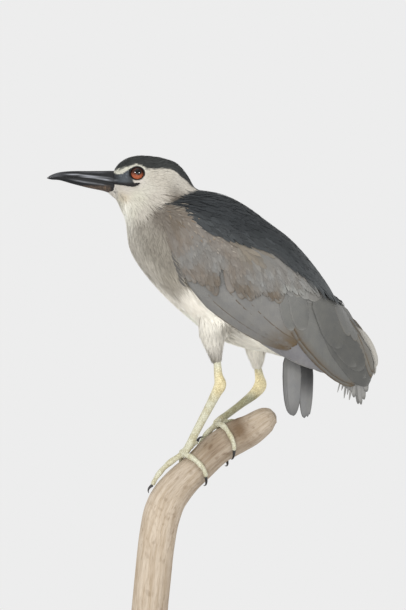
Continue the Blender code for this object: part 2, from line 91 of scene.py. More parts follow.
# Groups of wing feathers seen from the side (y, z), from the lowest layer to the topmost: the
# curves of their roots and tips, how many, their half widths, the quill's bow towards the wing's
# lower edge, bluntness, height over the wing, colour, edge colour and the edges' share of the vane.
Group = namedtuple("Group", "name roots tips count half bow blunt lift tint edge margin worn fade",
                   defaults=(0.93, -0.1))
WING_GROUPS = (
    Group("worn_front", ((132, 350), (146, 346)), ((125, 328), (130, 331), (133, 322), (136, 327),
                                                   (139, 321), (142, 326)),
          6, (0.8, 1.8), 0.5, 3, -2, "worn", "flight", 0.3),
    Group("worn_rear", ((147, 350), (156, 352)), ((145, 322), (151, 316), (156, 321), (159, 329)),
          4, (3.6, 4.4), 0.8, 3, -1.8, "worn", "tertial", 0.3, 0.8),
    Group("primaries", ((12, 414), (34, 420)), ((111, 356), (124, 351)), 4, (6.5, 7.5), 6, 7,
          -1.5, "primary", "worn", 0.15),
    Group("secondaries", ((-47, 456), (-30, 470), (0, 478), (30, 478)),
          ((71, 377), (79, 383), (86, 388), (92, 392)), 10, (6.5, 11), 7, 6,
          -1.1, "flight", "edge_brown", 0.1, 0.7),
    Group("long_tertial", ((60, 455), (68, 456)), ((144, 337), (149, 341)), 2, (19, 19), 8, 4,
          -0.8, "tertial", "edge_brown", 0.24, 0.93, 0.22),
    Group("short_tertial", ((66, 452), (76, 456)), ((75, 399), (86, 398)), 2, (9, 10), 2, 7,
          -0.3, "tertial", "flight", 0.1, 0.93, 0.34),
    Group("back_edge", ((124, 430), (130, 430)), ((164, 344), (166, 351)), 2, (6, 6), -7, 5,
          -1, "back_edge", "edge_brown", 0.2),
    Group("nested", ((112, 430), (112, 440), (108, 446)), ((160, 338), (155, 350), (146, 360)), 4,
          (17, 15), 4, 5, -0.5, "wing_tip", "tertial", 0.08),
    Group("great_tertial", ((104, 450), (104, 450)), ((126, 380), (126, 380)), 1, (18, 18), -2,
          5, 0, "wing_tip", "tertial", 0.12, 0.93, 0.4),
    Group("rear_tertials", ((122, 440), (130, 434)), ((136, 392), (145, 386)), 2, (7.5, 6.5), -1,
          3.5, -0.3, "tertial", "back_edge", 0.08, 0.93, 0.1),
    Group("tertial_coverts", ((66, 476), (84, 462), (104, 444)), ((68, 438), (80, 434), (96, 430)),
          5, (8, 9), 1, 5, -0.4, "coverts", "tertial_pale", 0.15),
    Group("rear_greater", ((6, 486), (34, 480), (60, 472)),
          ((9, 440), (20, 434), (31, 432), (43, 437), (51, 432), (58, 428)), 7, (7, 8), 1, 5,
          0, "coverts", "covert_brown", 0.2),
    Group("front_greater", ((-46, 488), (-36, 492), (-20, 492)),
          ((-44, 455), (-34, 451), (-22, 446), (-9, 437)), 6, (5, 6.5), 1, 5,
          0, "coverts", "covert_brown", 0.22),
    Group("rear_median", ((0, 499), (30, 490), (64, 474)),
          ((-2, 466), (14, 458), (30, 456), (46, 456), (60, 452), (72, 446)), 9, (6.5, 7.5), 1, 5,
          0.3, "coverts", "covert_mauve", 0.25),
    Group("front_median", ((-40, 500), (-28, 500), (-14, 499)),
          ((-38, 472), (-28, 467), (-20, 465), (-10, 462)), 6, (5, 6), 1, 5,
          0.3, "coverts", "covert_grey", 0.25),
    Group("wrist_bars", ((-58, 481), (-55, 473), (-52, 465), (-50, 458)),
          ((-49, 472), (-47, 463), (-44.5, 455), (-42, 448)), 5, (1.7, 1.7), 1, 4,
          0.9, "wrist_bar", "covert_pale", 0.5),
)
# Groups on the wings' inner sides. The inner coverts take the far wing's colour, painted paler to lift
# the shade between the wings.
INNER_GROUPS = (
    Group("inner_coverts", ((20, 430), (40, 440), (90, 440)), ((60, 396), (90, 380), (120, 372)), 8,
          (8, 9), 0, 5, 0.6, "far_wing", "flight", 0.15),
    Group("inner_quills", ((30, 410), (60, 430), (110, 430)), ((110, 352), (140, 342), (162, 342)),
          9, (8, 10), 0, 5, 0, "flight", "far_wing", 0.1),
)

# Pale rear edges of the right wing that show behind the left one, as flat vanes between them. Their
# edges take the far wing's colour, painted paler to lift the shade between the wings.
FAR_EDGE = Group("far_edge", ((135, 411), (142, 404)), ((168, 350), (169, 358)), 2, (6.6, 6), -4.5,
                 5, 0, "far_edge", "far_wing", 0.12)

# Feathers laid over the slit between the folded wings: rows of WING at their roots and tips, half
# width, and height over the wings' ridge.
RIDGE = np.array([(8.8, 12, 7, 0.7), (7.8, 11.2, 9, 1), (6.9, 10.2, 10.5, 1.3),
                  (6.1, 9.2, 12, 1.6)])

# The bill: y, then the heights of the culmen, the gape and the underside, and the half width.
BILL = np.array([
    (-199.2, 569.3, 568.8, 568.3, 0.8), (-194, 572.6, 569.5, 567, 1.8),
    (-184.8, 575.4, 569.9, 566.2, 2.8), (-171.4, 576.6, 569.6, 562.4, 4),
    (-153.5, 576.7, 568.2, 557.8, 5.4), (-137.8, 576.8, 565.8, 554.6, 7),
    (-125.8, 576.9, 563.5, 551.4, 8.7), (-116, 575.6, 562.2, 553.6, 10.2),
])
EYE = np.array((13.9, -98, 573.2))
EYE_RADIUS = 8.2

# The driftwood's axis (y, z) and radius, from its worn end to the flat cut.
PERCH = np.array([
    (54.6, 302.4, 8.5), (45.9, 298.4, 14.4), (29.1, 287.2, 17.8), (14.6, 279.8, 19), (-9, 265.3, 18.4),
    (-30.2, 245.2, 18), (-47.6, 229.2, 19), (-61.6, 212.2, 20.6), (-70, 194.2, 21.3),
    (-74.5, 174.6, 21), (-77.8, 151.1, 20.8), (-81.2, 117.5, 20.7), (-84.4, 85, 20.7),
    (-87.4, 55, 20.7),
])

# Legs as (x, y, z, radius): the feathered part, then the bare part.
THIGHS = {
    "left": ((31, -14, 412, 17.5), (31.5, -13.6, 394, 15),
             (32, -11.6, 376, 8.8), (32, -9.2, 361.8, 4.8)),
    "right": ((-33, 33, 395, 13.5), (-40, 35.4, 377, 11.8),
              (-45.5, 36.6, 365, 8.6), (-49, 37, 354, 4.6)),
}
SHANKS = {
    "left": ((32, -9.1, 366, 4.1), (32.2, -7.6, 349.5, 4.8), (32, -5.6, 338.4, 6.8),
             (30.8, -10.2, 328.4, 5.8), (25.4, -19.6, 310, 4.9), (17.5, -31, 288.2, 4.5),
             (8.5, -42.2, 266, 4.5)),
    "right": ((-49, 37, 358, 4), (-52.4, 39.8, 344.8, 5.2), (-54.6, 40.6, 334.8, 7.3),
              (-50.6, 33.4, 325.2, 6), (-38, 18.5, 314, 4.4), (-23, 4.6, 304.2, 4.1),
              (-10.5, -4.6, 298.2, 4.2)),
}
KNUCKLE = 5.2
# Where each foot holds the driftwood: row of PERCH, and degrees round it from its upper ridge.
FEET = {"left": (5.12, 6), "right": (3.52, -6)}
# Each toe as (row, degrees) from the foot to the claw's tip, radii at its ends, and its arch.
TOES = {
    "left": {
        "middle": (((5.13, 5), (6, 6), (6.8, 8), (7.35, 10)), (3.6, 2.6), 2.6),
        "outer": (((5.1, 12), (4.86, 62), (4.9, 112), (5.35, 166)), (3.4, 2.5), 0.4),
        "inner": (((5.14, -2), (5.5, -58), (5.75, -105), (5.8, -150)), (3.3, 2.4), 0.4),
        "hind": (((5.1, 0), (4.8, -3), (4.45, -6), (4.1, -14)), (3.3, 2.3), 0.4),
    },
    "right": {
        "middle": (((3.55, -8), (4.15, -38), (4.8, -62), (5.15, -74)), (3.6, 2.6), 0.4),
        "outer": (((3.52, -16), (3.6, -72), (3.84, -124), (4.2, -178)), (3.4, 2.5), 0.4),
        "inner": (((3.5, 2), (3.3, 50), (3.34, 104), (3.75, 152)), (3.3, 2.4), 0.4),
        "hind": (((3.45, -16), (3.1, -34), (2.75, -46), (2.4, -56)), (3.3, 2.3), 0.4),
    },
}
CLAW_SHARE = 0.24  # of a toe's whole course

# The lie of the small feathers. Each row is a place (distance from the middle plane, y, z), the
# way the feathers run there, their length and half width, and the coat's depth.
LIE = np.array([
    (0, -124, 582, 0, 0.8, 0.6, 4, 0.45, 0.9), (0, -95, 596, 0, 1, 0, 9, 0.6, 1.4),
    (0, -62, 590, 0, 1, -0.4, 13, 0.75, 1.8), (0, -40, 568, 0, 0.75, -0.7, 18, 0.9, 2.4),
    (14, -117, 577, 0.2, 1, 0.3, 3.6, 0.42, 0.8), (18, -98, 584, 0, 1, 0.05, 4.2, 0.42, 0.8),
    (16, -110, 556, 0.1, 1, -0.12, 5, 0.42, 0.9), (21, -85, 566, 0, 1, -0.1, 8, 0.45, 1.1),
    (23, -60, 562, 0, 1, -0.3, 12, 0.55, 1.5), (0, -121, 552, 0, 0.75, -0.65, 5, 0.5, 1),
    (10, -114, 540, 0, 0.35, -1, 10, 0.5, 1.5), (25, -90, 540, 0, 0.65, -0.75, 12, 0.55, 1.7),
    (28, -55, 546, 0, 0.95, -0.4, 16, 0.7, 2), (0, -110, 510, 0, 0.15, -1, 16, 0.7, 2.4),
    (35, -80, 505, 0, 0.45, -0.9, 17, 0.8, 2.6), (0, -98, 465, 0, 0.5, -0.85, 20, 0.9, 3),
    (48, -55, 460, 0, 0.6, -0.8, 20, 0.9, 3), (0, -55, 420, 0, 0.8, -0.6, 22, 1, 3.2),
    (40, 0, 410, 0, 0.95, -0.35, 22, 1, 3), (0, 20, 385, 0, 1, -0.2, 24, 1, 3.2),
    (0, 80, 372, 0, 1, -0.3, 24, 1, 3), (0, 0, 550, 0, 1, -0.3, 34, 2.6, 3),
    (0, 60, 512, 0, 0.75, -0.65, 42, 3.2, 3), (0, 115, 445, 0, 0.55, -0.85, 40, 3.4, 2.6),
    (45, -30, 530, 0.05, 0.85, -0.5, 30, 2.6, 3), (50, 40, 500, 0.05, 0.85, -0.55, 42, 3.4, 3),
    (54, -40, 490, 0, 0.4, -0.9, 13, 1.4, 1.5), (60, 0, 465, 0, 0.35, -0.95, 14, 1.5, 1.5),
    (62, 50, 455, 0, 0.4, -0.9, 14, 1.5, 1.5), (58, 95, 430, 0, 0.5, -0.85, 15, 1.5, 1.5),
])

# Where the plumage takes each colour: distance from the middle plane, y, z.
PATCHES = (
    ("brow", 12, -118, 577), ("brow", 17, -98, 583), ("brow", 17, -108, 580), ("face", 15, -108, 556),
    ("face", 17, -95, 563), ("cheek", 21, -78, 568), ("cheek_low", 21, -84, 556),
    ("cheek", 21, -66, 562), ("cheek_rear", 20, -50, 562), ("face", 6, -119, 552),
    ("chin_stain", 13, -111, 544.5), ("throat", 12, -116, 540), ("throat", 22, -95, 546),
    ("throat", 20, -102, 530), ("foreneck", 10, -112, 524), ("breast_pale", 8, -109, 508),
    ("breast_front", 8, -106, 494), ("neck_side", 27, -76, 546), ("neck_side", 30, -62, 546),
    ("cheek_rear", 30, -52, 552), ("neck_side", 18, -42, 556), ("neck_side", 0, -36, 558),
    ("neck_side", 26, -90, 524), ("shoulder", 36, -72, 523), ("shoulder", 42, -60, 520),
    ("breast_side", 28, -88, 510), ("breast_side", 38, -76, 490), ("breast_side", 46, -62, 472),
    ("breast_warm", 52, -52, 456), ("breast_front", 16, -100, 487), ("breast_front", 24, -86, 464),
    ("breast_warm", 38, -64, 446), ("breast_low", 16, -72, 432), ("breast_low", 42, -38, 426),
    ("belly", 12, -40, 408), ("belly", 42, -4, 408), ("belly", 10, 0, 394), ("vent", 10, 36, 384),
    ("vent", 30, 50, 388), ("vent", 0, 80, 374), ("flight", 0, 126, 410), ("foreneck", 16, -108, 534),
    ("thigh", 32, -12, 385), ("thigh", 44, 36, 372), ("breast_side", 42, 1, 402),
    ("cheek_rear", 40, -4, 374), ("breast_side", 36, -14, 362),
)
# The coverts' colours seen from the side: y, z.
WING_PATCHES = (
    ("covert_brown", -64, 524), ("covert_brown", -52, 514), ("covert_mauve", -44, 492),
    ("covert_mauve", -38, 506), ("covert_grey", -36, 476), ("covert_grey", -22, 488),
    ("covert_mauve", -32, 457), ("covert_brown", -14, 447), ("covert_mauve", -12, 498),
    ("covert_grey", -8, 470), ("covert_mauve", 8, 480), ("covert_warm", 22, 482),
    ("covert_warm", 44, 480), ("covert_grey", 56, 468), ("covert_mauve", 14, 464),
    ("covert_grey", 30, 455), ("covert_brown", 23, 438), ("covert_grey", 44, 446),
    ("covert_brown", 55, 432), ("covert_grey", 66, 454), ("covert_grey", 84, 450),
    ("tertial_pale", 88, 436), ("tertial_pale", 70, 440), ("covert_grey", 100, 440),
)
# The lower edge of the fluffy coverts, seen from the side (y, z).
COVERT_EDGE = np.array([
    (-66, 492), (-54, 470), (-46, 456), (-34, 452), (-20, 446), (-8, 437), (-4, 456), (-1, 464),
    (4, 456), (10, 441), (20, 434), (31, 432), (43, 437), (51, 432), (58, 428), (66, 438), (90, 438),
    (112, 436),
])
# The cap's lower edge and the mantle's lower edge, seen from the side (y, z).
CAP_EDGE = np.array([
    (-126, 576.8), (-121, 579), (-113, 581), (-106.4, 582), (-97.6, 584.4), (-91.3, 582), (-85, 578),
    (-67.2, 578.9), (-59.4, 577.6), (-50.4, 571.5), (-39.2, 561), (-31.4, 556),
])
MANTLE_EDGE = np.array([
    (-74, 533), (-66, 535.5), (-56, 538), (-44.8, 530.8), (-39.2, 521.8), (-31.4, 510.6),
    (-11.2, 502.8), (16.8, 490.4), (30.2, 487.1), (45, 485), (56, 480.4), (65, 473.6), (72.8, 465.8),
    (84, 459.1), (91.8, 453.5), (100.8, 443.4), (112, 433.3), (123.2, 428.8), (131, 423),
])
MANTLE_FRONT = np.array([(-74, 533), (-60, 540.5), (-45, 549), (-33.6, 555.6)])
CHIN = ((0, -135, 556, 2), (0, -131, 555.8, 4.1), (0, -126, 554.9, 6.4), (0, -120, 553, 8))
# The gape's fold and the upper edge of the bare lores, seen from the side (y, z), and the heights
# that the face's feathers stop at below and the neck's above.
GAPE = np.array([(-129, 562.6), (-119, 561.6), (-110, 560.6), (-103.5, 560.4), (-99, 561.6),
                 (-95.5, 563.4)])
LORE_TOP = np.array([(-128, 576.4), (-124, 574.2), (-120, 572.8), (-114, 573.2), (-110, 576.2),
                     (-106, 579)])
HEAD_FLOOR = np.array([(-130, 549), (-110, 545), (-90, 550), (-60, 552), (-30, 550)])
NECK_TOP = np.array([(-130, 551), (-110, 549), (-90, 556), (-60, 558), (-30, 556)])
# Painted highlights along the bill, as pale lines: their course (ys, zs), width, first and last y, and
# strength.
BILL_HIGHLIGHTS = (
    ((-180, -165, -150, -140, -120), (573, 572.5, 570.6, 569.4, 568), 0.65, -176, -130, 0.7),
    ((-165, -150, -140, -120), (570.6, 568.8, 567.6, 565.6), 0.55, -158, -122, 0.75),
    ((-180, -160, -125), (575.2, 575.2, 574.2), 0.5, -158, -136, 0.16),
)
# The painted highlight along the lower half of the bill, in the same columns.
BILL_LOW_HIGHLIGHT = ((-176, -160, -140, -120), (567.6, 564.6, 561.6, 558.4), 0.6, -170, -136, 0.5)
BLACK = np.array([0.004, 0.003, 0.003])  # the pupil and the eye's rim
TAIL_TOP, TAIL_FAN = 384, 60  # height of the tail's roots, and its width laid flat
TUFT_SPACING = 3.2 * MM
# Soft lights: place and size in metres, and power. The catch lights light the eyes alone.
LAMPS = (
    ("key", (2.1, -1.5, 1.16), 0.5, 12.5), ("fill", (2.05, 1.45, 0.98), 0.5, 7),
    ("top", (0.6, -0.3, 2.2), 1.6, 7), ("low", (1.6, -0.1, 0.12), 1, 7.5),
    ("catch_front", (2.1, -1.35, 1.2), 0.4, 60), ("catch_rear", (2.05, 1.3, 1.1), 0.4, 45),
)


def linear(*levels):
    """The linear shares of light for a colour given as 0 to 255 display levels."""
    share = np.array(levels) / 255
    return tuple(np.where(share <= 0.04045, share / 12.92, ((share + 0.055) / 1.055) ** 2.4))


def colour(label, text, *levels):
    """A colour property whose default is given in display levels."""
    return FloatVectorProperty(name=label, description=text, default=linear(*levels),
                               size=3, min=0, max=1, subtype="COLOR")


def length(label, text, default):
    """A length property in metres."""
    return FloatProperty(name=label, description=text, default=default, min=0, unit="LENGTH")


class HeronColours(bpy.types.PropertyGroup):
    """Colours of the plumage, the bare parts and the mount."""

    cap: colour("Cap", "Crown and hind neck", 51, 53, 52)
    brow: colour("Brow", "Fore brow and line over the eye", 209, 207, 193)
    face: colour("Face", "Front of the cheek and chin", 200, 194, 186)
    cheek: colour("Cheek", "Ear coverts", 190, 184, 172)
    cheek_low: colour("Lower cheek", "Under the ear coverts", 203, 199, 187)
    cheek_rear: colour("Rear cheek", "Behind the ear coverts", 190, 185, 175)
    chin_stain: colour("Chin stain", "Faint tan mark at the jaw", 196, 180, 152)
    throat: colour("Throat", "Throat and upper neck", 203, 200, 185)
    foreneck: colour("Foreneck", "Front of the neck", 252, 250, 240)
    neck_side: colour("Side of neck", "Lower side of the neck", 190, 184, 173)
    shoulder: colour("Shoulder", "Brownish shade before the wrist", 107, 99, 89)
    breast_side: colour("Side of breast", "Grey taupe flank of the breast", 136, 130, 119)
    breast_warm: colour("Lower side of breast", "Warmer taupe", 158, 151, 138)
    breast_front: colour("Front of breast", "Pale taupe front", 184, 178, 166)
    breast_pale: colour("Front rim of the breast", "Pale rim of the breast", 204, 200, 188)
    breast_low: colour("Lower breast", "Pale lower breast", 240, 235, 224)
    belly: colour("Belly", "Cream belly", 250, 246, 234)
    vent: colour("Under tail", "Cream vent and under tail coverts", 246, 242, 230)
    thigh: colour("Thigh", "Leg feathers", 231, 227, 216)
    mantle: colour("Mantle", "Back and scapulars", 44, 47, 49)
    mantle_pale: colour("Mantle rear", "Paler rear scapulars", 78, 81, 82)
    covert_brown: colour("Brown coverts", "Stained coverts at the wrist and tips", 102, 93, 82)
    wrist_bar: colour("Wrist bars", "Dark narrow feathers at the wing's front", 84, 82, 78)
    covert_mauve: colour("Upper coverts", "Brownish lesser coverts", 116, 109, 101)
    covert_warm: colour("Scapular edge", "Beige feathers along the mantle", 118, 111, 100)
    covert_pale: colour("Pale edges", "Worn pale edges of the coverts", 162, 155, 143)
    covert_grey: colour("Lower coverts", "Grey greater coverts", 118, 116, 112)
    tertial_pale: colour("Tertial bases", "Pale grey bases", 130, 130, 126)
    tertial: colour("Tertials", "Inner wing feathers", 98, 98, 95)
    flight: colour("Flight feathers", "Secondaries", 120, 119, 116)
    primary: colour("Primaries", "Bluish grey outer quills", 118, 117, 119)
    wing_tip: colour("Wing tip", "Dark grey inner quills near the tip", 82, 82, 79)
    back_edge: colour("Rear edge", "Brownish grey feathers at the wing's rear edge", 107, 104, 97)
    edge_brown: colour("Brown edges", "Worn brown feather edges", 90, 74, 51)
    # Painted light: the right wing's colour is made paler to lift the shade between the wings.
    far_wing: colour("Far wing", "Paler right wing", 156, 152, 144)
    far_edge: colour("Far wing edge", "Pale rear edge of the right wing", 181, 178, 170)
    tail: colour("Tail", "Tail feathers", 123, 123, 122)
    worn: colour("Worn tips", "Frayed pale tips", 142, 141, 138)
    ochre: colour("Ochre tufts", "Stained loose tufts at the shoulder", 130, 106, 74)
    bill: colour("Bill", "Blackish slate horn", 21, 22, 24)
    # The colour of the painted highlights along the bill.
    bill_highlight: colour("Bill streaks", "Paler streaks along the bill", 148, 150, 154)
    bill_brown: colour("Bill patch", "Brown patch of the lower bill", 116, 97, 80)
    lore: colour("Lores", "Bare skin before the eye", 65, 70, 75)
    rim: colour("Eye rim", "Blackish eyelids and gape", 30, 28, 29)
    iris: colour("Iris", "Orange red iris", 146, 78, 52)
    leg: colour("Legs", "Pale cream scaly skin", 209, 208, 187)
    leg_yellow: colour("Ankles", "Yellower ankles and soles", 240, 228, 186)
    claw: colour("Claws", "Black horn", 38, 36, 35)
    wood: colour("Driftwood", "Worn pale wood", 185, 172, 155)
    wood_dark: colour("Driftwood stain", "Brown stain and grain", 96, 72, 44)
    base: colour("Base", "Stained board", 92, 62, 42)
    steel: colour("Rod", "Plain steel", 178, 178, 178)
    backdrop: colour("Backdrop", "Studio backdrop and floor", 237, 237, 237)


class HeronSizes(bpy.types.PropertyGroup):
    """Sizes of the coat and the stage."""

    skin_voxel: length("Skin grain", "Size of the skin's faces", 0.0016)
    leg_voxel: length("Leg grain", "Size of the bare legs' faces", 0.0008)
    head_spacing: length("Head spacing", "Distance between feathers on the head", 0.00095)
    neck_spacing: length("Neck spacing", "Distance between feathers on the neck", 0.0012)
    body_spacing: length("Body spacing", "Distance between breast and belly feathers", 0.0016)
    thigh_spacing: length("Thigh spacing", "Distance between leg feathers", 0.0013)
    mantle_spacing: length("Mantle spacing", "Distance between back feathers", 0.0030)
    covert_spacing: length("Covert spacing", "Distance between the wing's soft feathers", 0.0020)
    plume_wall: length("Vane thickness", "Thickness of the large feathers", 0.00035)
    camera_distance: length("Camera distance", "From the camera to the middle plane", 2.9)
    view_height: length("View height", "Height of the scene that the camera takes in", 0.6832)
    floor_radius: length("Floor radius", "Where the floor has faded out", 0.75)
    seed: IntProperty(name="Seed", description="Start of the random numbers", default=7, min=0)


# ---------------------------------------------------------------- helpers

NO_QUADS, NO_TRIANGLES = np.zeros((0, 4), int), np.zeros((0, 3), int)


def smooth(low, high, value):
    """0 below low, 1 above high, and an S curve between."""
    t = np.clip((value - low) / (high - low), 0, 1)
    return t * t * (3 - 2 * t)


def hump(value, middle, width):
    """1 at the middle, falling off to both sides as a bell."""
    return np.exp(-(((value - middle) / width) ** 2))


def unit(vectors):
    """Vectors scaled to length 1."""
    return vectors / np.maximum(np.linalg.norm(vectors, axis=-1, keepdims=True), 1e-9)


def blend(one, two, share):
    """Rows of one kind that pass into another, by a share per row."""
    return one * (1 - share[:, None]) + two * share[:, None]


def tone(*names):
    """The scene's colours of these names: one colour, or a row for each."""
    tints = bpy.context.scene.heron_colours
    rows = np.array([getattr(tints, name)[:] for name in names])
    return rows if len(names) > 1 else rows[0]


def spline(rows, at):
    """The rows read at fractional row numbers, on a Catmull-Rom curve through them."""
    rows = np.asarray(rows, float)
    last = len(rows) - 1
    at = np.clip(np.asarray(at, float), 0, last)
    first = np.minimum(at.astype(int), last - 1)
    t = (at - first)[..., None]
    start, end = rows[first], rows[first + 1]
    into = (end - rows[np.maximum(first - 1, 0)]) / 2
    out = (rows[np.minimum(first + 2, last)] - start) / 2
    return ((2 * t**3 - 3 * t**2 + 1) * start + (t**3 - 2 * t**2 + t) * into
            + (3 * t**2 - 2 * t**3) * end + (t**3 - t**2) * out)


def ripple(points, scale, seed):
    """Smooth noise from -1 to 1: a mean of nine sine waves whose directions are seeded."""
    rng = np.random.default_rng(seed)
    waves = rng.normal(size=(9, points.shape[-1])) * 2 * math.pi / scale
    return np.sin(points @ waves.T + rng.uniform(0, 6.3, 9)).mean(-1) * 1.6


def round_angles(count):
    """Even angles round a circle."""
    return np.linspace(0, 2 * math.pi, count, endpoint=False)


def band_faces(rings, around):
    """Quads between neighbouring rings of points that are numbered ring by ring."""
    ring = np.arange(rings - 1)[:, None] * around
    step = np.arange(around)[None, :]
    after = (step + 1) % around
    return np.stack([ring + step, ring + after, ring + around + after, ring + around + step],
                    axis=-1).reshape(-1, 4)


def each(items, key, width, kind=np.float32):
    """One value of each of a mesh's items, as rows."""
    flat = np.zeros(len(items) * width, kind)
    items.foreach_get(key, flat)
    return flat.reshape(-1, width)


def mark(mesh, name, values, kind="FLOAT", domain="POINT"):
    """Writes numbers, or colours, into an attribute of a mesh."""
    layer = mesh.attributes.get(name) or mesh.attributes.new(name, kind, domain)
    if kind == "FLOAT_COLOR":
        values = np.concatenate([values, np.ones((len(values), 1))], axis=1)
    key = "color" if kind == "FLOAT_COLOR" else "value"
    layer.data.foreach_set(key, values.astype(bool if kind == "BOOLEAN" else np.float32).ravel())


def make_mesh(name, points, quads=NO_QUADS, triangles=NO_TRIANGLES, tint=None, maps=None,
              seams=None):
    """A mesh in metres from points in millimetres, quads and triangles. tint is a colour per
    point, maps are UV maps given per point, and seams is a test on the two point numbers of an
    edge that marks those that shade as creases."""
    corners = np.concatenate([quads.ravel(), triangles.ravel()]).astype(np.int32)
    starts = np.concatenate([np.arange(len(quads)) * 4,
                             len(quads) * 4 + np.arange(len(triangles)) * 3]).astype(np.int32)
    mesh = bpy.data.meshes.new(name)
    for items, key, values in (
        (mesh.vertices, "co", (points * MM).astype(np.float32)),
        (mesh.loops, "vertex_index", corners),
        (mesh.polygons, "loop_start", starts),
    ):
        items.add(len(values))
        items.foreach_set(key, values.ravel())
    mesh.polygons.foreach_set("use_smooth", np.ones(len(starts), bool))
    mesh.update(calc_edges=True)
    for key, flat in (maps or {}).items():
        layer = mesh.uv_layers.new(name=key)
        layer.uv.foreach_set("vector", flat[corners].astype(np.float32).ravel())
    if tint is not None:
        mark(mesh, "Tint", tint, "FLOAT_COLOR")
    if seams is not None:
        mark(mesh, "sharp_edge", seams(*each(mesh.edges, "vertices", 2, np.int32).T), "BOOLEAN",
             "EDGE")
    mesh.validate()
    return mesh


def join_meshes(name, meshes):
    """One mesh from several that have the same maps and attributes."""
    build = bmesh.new()
    for mesh in meshes:
        build.from_mesh(mesh)
        bpy.data.meshes.remove(mesh)
    joined = bpy.data.meshes.new(name)
    build.to_mesh(joined)
    build.free()
    return joined


def show(name, data):
    """A new object in the scene."""
    obj = bpy.data.objects.new(name, data)
    bpy.context.scene.collection.objects.link(obj)
    return obj


def add_piece(name, mesh, finishes, replaces=()):
    """Puts a mesh into the scene as a piece that rides on the frame's only body."""
    obj = show(name, mesh)
    for key in finishes:
        mesh.materials.append(finish(key))
    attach(obj, "root")
    if replaces:
        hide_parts(*replaces)


def read_mesh(obj):
    """Points and normals in millimetres, and faces as triangles, of an object as evaluated."""
    mesh = obj.evaluated_get(bpy.context.evaluated_depsgraph_get()).to_mesh()
    points, normals = (each(mesh.vertices, key, 3).astype(float) for key in ("co", "normal"))
    mesh.calc_loop_triangles()
    faces = each(mesh.loop_triangles, "vertices", 3, np.int32)
    obj.to_mesh_clear()
    return points / MM, normals, faces


def join_parts(parts):
    """One set of points, quads and triangles from several."""
    base = np.cumsum([0, *(len(part[0]) for part in parts)])
    points, quads, triangles = zip(*parts)
    return (np.concatenate(points),
            *(np.concatenate([face + first for face, first in zip(faces, base)])
              for faces in (quads, triangles)))


def tube(rings):
    """A closed tube through rings of points, with a fan to a middle point at each end."""
    count, around = rings.shape[:2]
    points = np.concatenate([rings.reshape(-1, 3), [rings[0].mean(0), rings[-1].mean(0)]])
    step = np.arange(around)
    after = (step + 1) % around
    last = (count - 1) * around
    middle = np.full(around, count * around)
    quads = band_faces(count, around)
    fans = np.concatenate([np.stack([middle, after, step], axis=1),
                           np.stack([middle + 1, last + step, last + after], axis=1)])
    corners = points[np.concatenate([quads[:, :3], quads[:, [0, 2, 3]], fans])]
    turned = -1 if np.linalg.det(corners - points.mean(0)).sum() < 0 else 1
    return points, quads[:, ::turned], fans[:, ::turned]


def rod(points, radii, around):
    """A closed round tube along a path, with its rings square to it and turned alike."""
    run = course_run(points)
    side = unit(np.cross(run, (0.31, 0.95, 0.05)))
    other = np.cross(run, side)
    angle = round_angles(around)[None, :, None]
    spoke = side[:, None] * np.cos(angle) + other[:, None] * np.sin(angle)
    return tube(points[:, None] + spoke * np.asarray(radii)[:, None, None])


def course_run(points):
    """Unit directions along a path."""
    return unit(np.gradient(points, axis=0))


# ---------------------------------------------------------------- the body's form


def body_rings():
    """Rings of the body, each a superellipse between a section's top and underside."""
    rows = spline(BODY, np.linspace(0, len(BODY) - 1, 200))
    angle = round_angles(96)[None, :]
    side, down = (np.sign(part) * np.abs(part) ** (2 / FULLNESS)
                  for part in (np.sin(angle), -np.cos(angle)))
    x = rows[:, 4:5] * side * (1 + rows[:, 5:6] * down)
    top, low = rows[:, None, 0:2], rows[:, None, 2:4]
    yz = (top + low) / 2 + (low - top) / 2 * down[..., None]
    return np.concatenate([x[..., None], yz], axis=2)


def flesh_parts():
    """The closed tubes whose union is the bird's feathered flesh."""
    courses = [spline(rows, np.linspace(0, 3, count)) for rows, count in
               ((CHIN, 16), *((THIGHS[side], 24) for side in SIDES))]
    return [tube(body_rings()), *(rod(rows[:, :3], rows[:, 3], around)
                                  for rows, around in zip(courses, (24, 32, 32)))]


def perch_frame(at):
    """Axis point, direction of the upper ridge and radius of the driftwood at row numbers."""
    rows = spline(PERCH, at)
    run = unit((spline(PERCH, at + 0.05) - spline(PERCH, at - 0.05))[..., :2])
    return rows[..., :2], np.stack([run[..., 1], -run[..., 0]], axis=-1), rows[..., 2]


def perch_point(at, degrees, lift):
    """Points at a height over the driftwood's round surface."""
    axis, ridge, radius = perch_frame(at)
    turn, reach = np.radians(degrees), radius + lift
    return np.concatenate([(reach * np.sin(turn))[..., None],
                           axis + (reach * np.cos(turn))[..., None] * ridge], axis=-1)


def toe_course(points, radii, arch, share):
    """Centres and radii of a toe and its claw over the driftwood."""
    rows = spline(points, share * (len(points) - 1))
    toe = np.clip(share / (1 - CLAW_SHARE), 0, 1)
    claw = np.clip((share - 1 + CLAW_SHARE) / CLAW_SHARE, 0, 1)
    radius = radii[0] + (radii[1] - radii[0]) * toe
    lift = radius * 1.1 + 0.3 + arch * np.sin(toe * math.pi)
    lift += 1.8 * np.sin(claw * math.pi) - 1.2 * claw
    knuckles = 1 + 0.10 * np.cos(toe * 3 * 2 * math.pi)
    return perch_point(rows[:, 0], rows[:, 1], lift), radius * knuckles


def leg_courses(side):
    """Centres and radii of the bare leg: the shank down to the knuckle, then the four toes."""
    where, degrees = FEET[side]
    knuckle = perch_point(np.array([where]), np.array([degrees]), np.array([KNUCKLE + 0.3]))[0]
    rows = spline((*SHANKS[side], (*knuckle, KNUCKLE * 0.86)), np.linspace(0, 7, 90))
    courses = [(rows[:, :3], rows[:, 3])]
    for toe in TOES[side].values():
        course, radius = toe_course(*toe, np.linspace(0, 1 - CLAW_SHARE, 40))
        radius[-4:] *= (1.0, 0.97, 0.88, 0.66)
        courses.append((course, radius))
    return courses


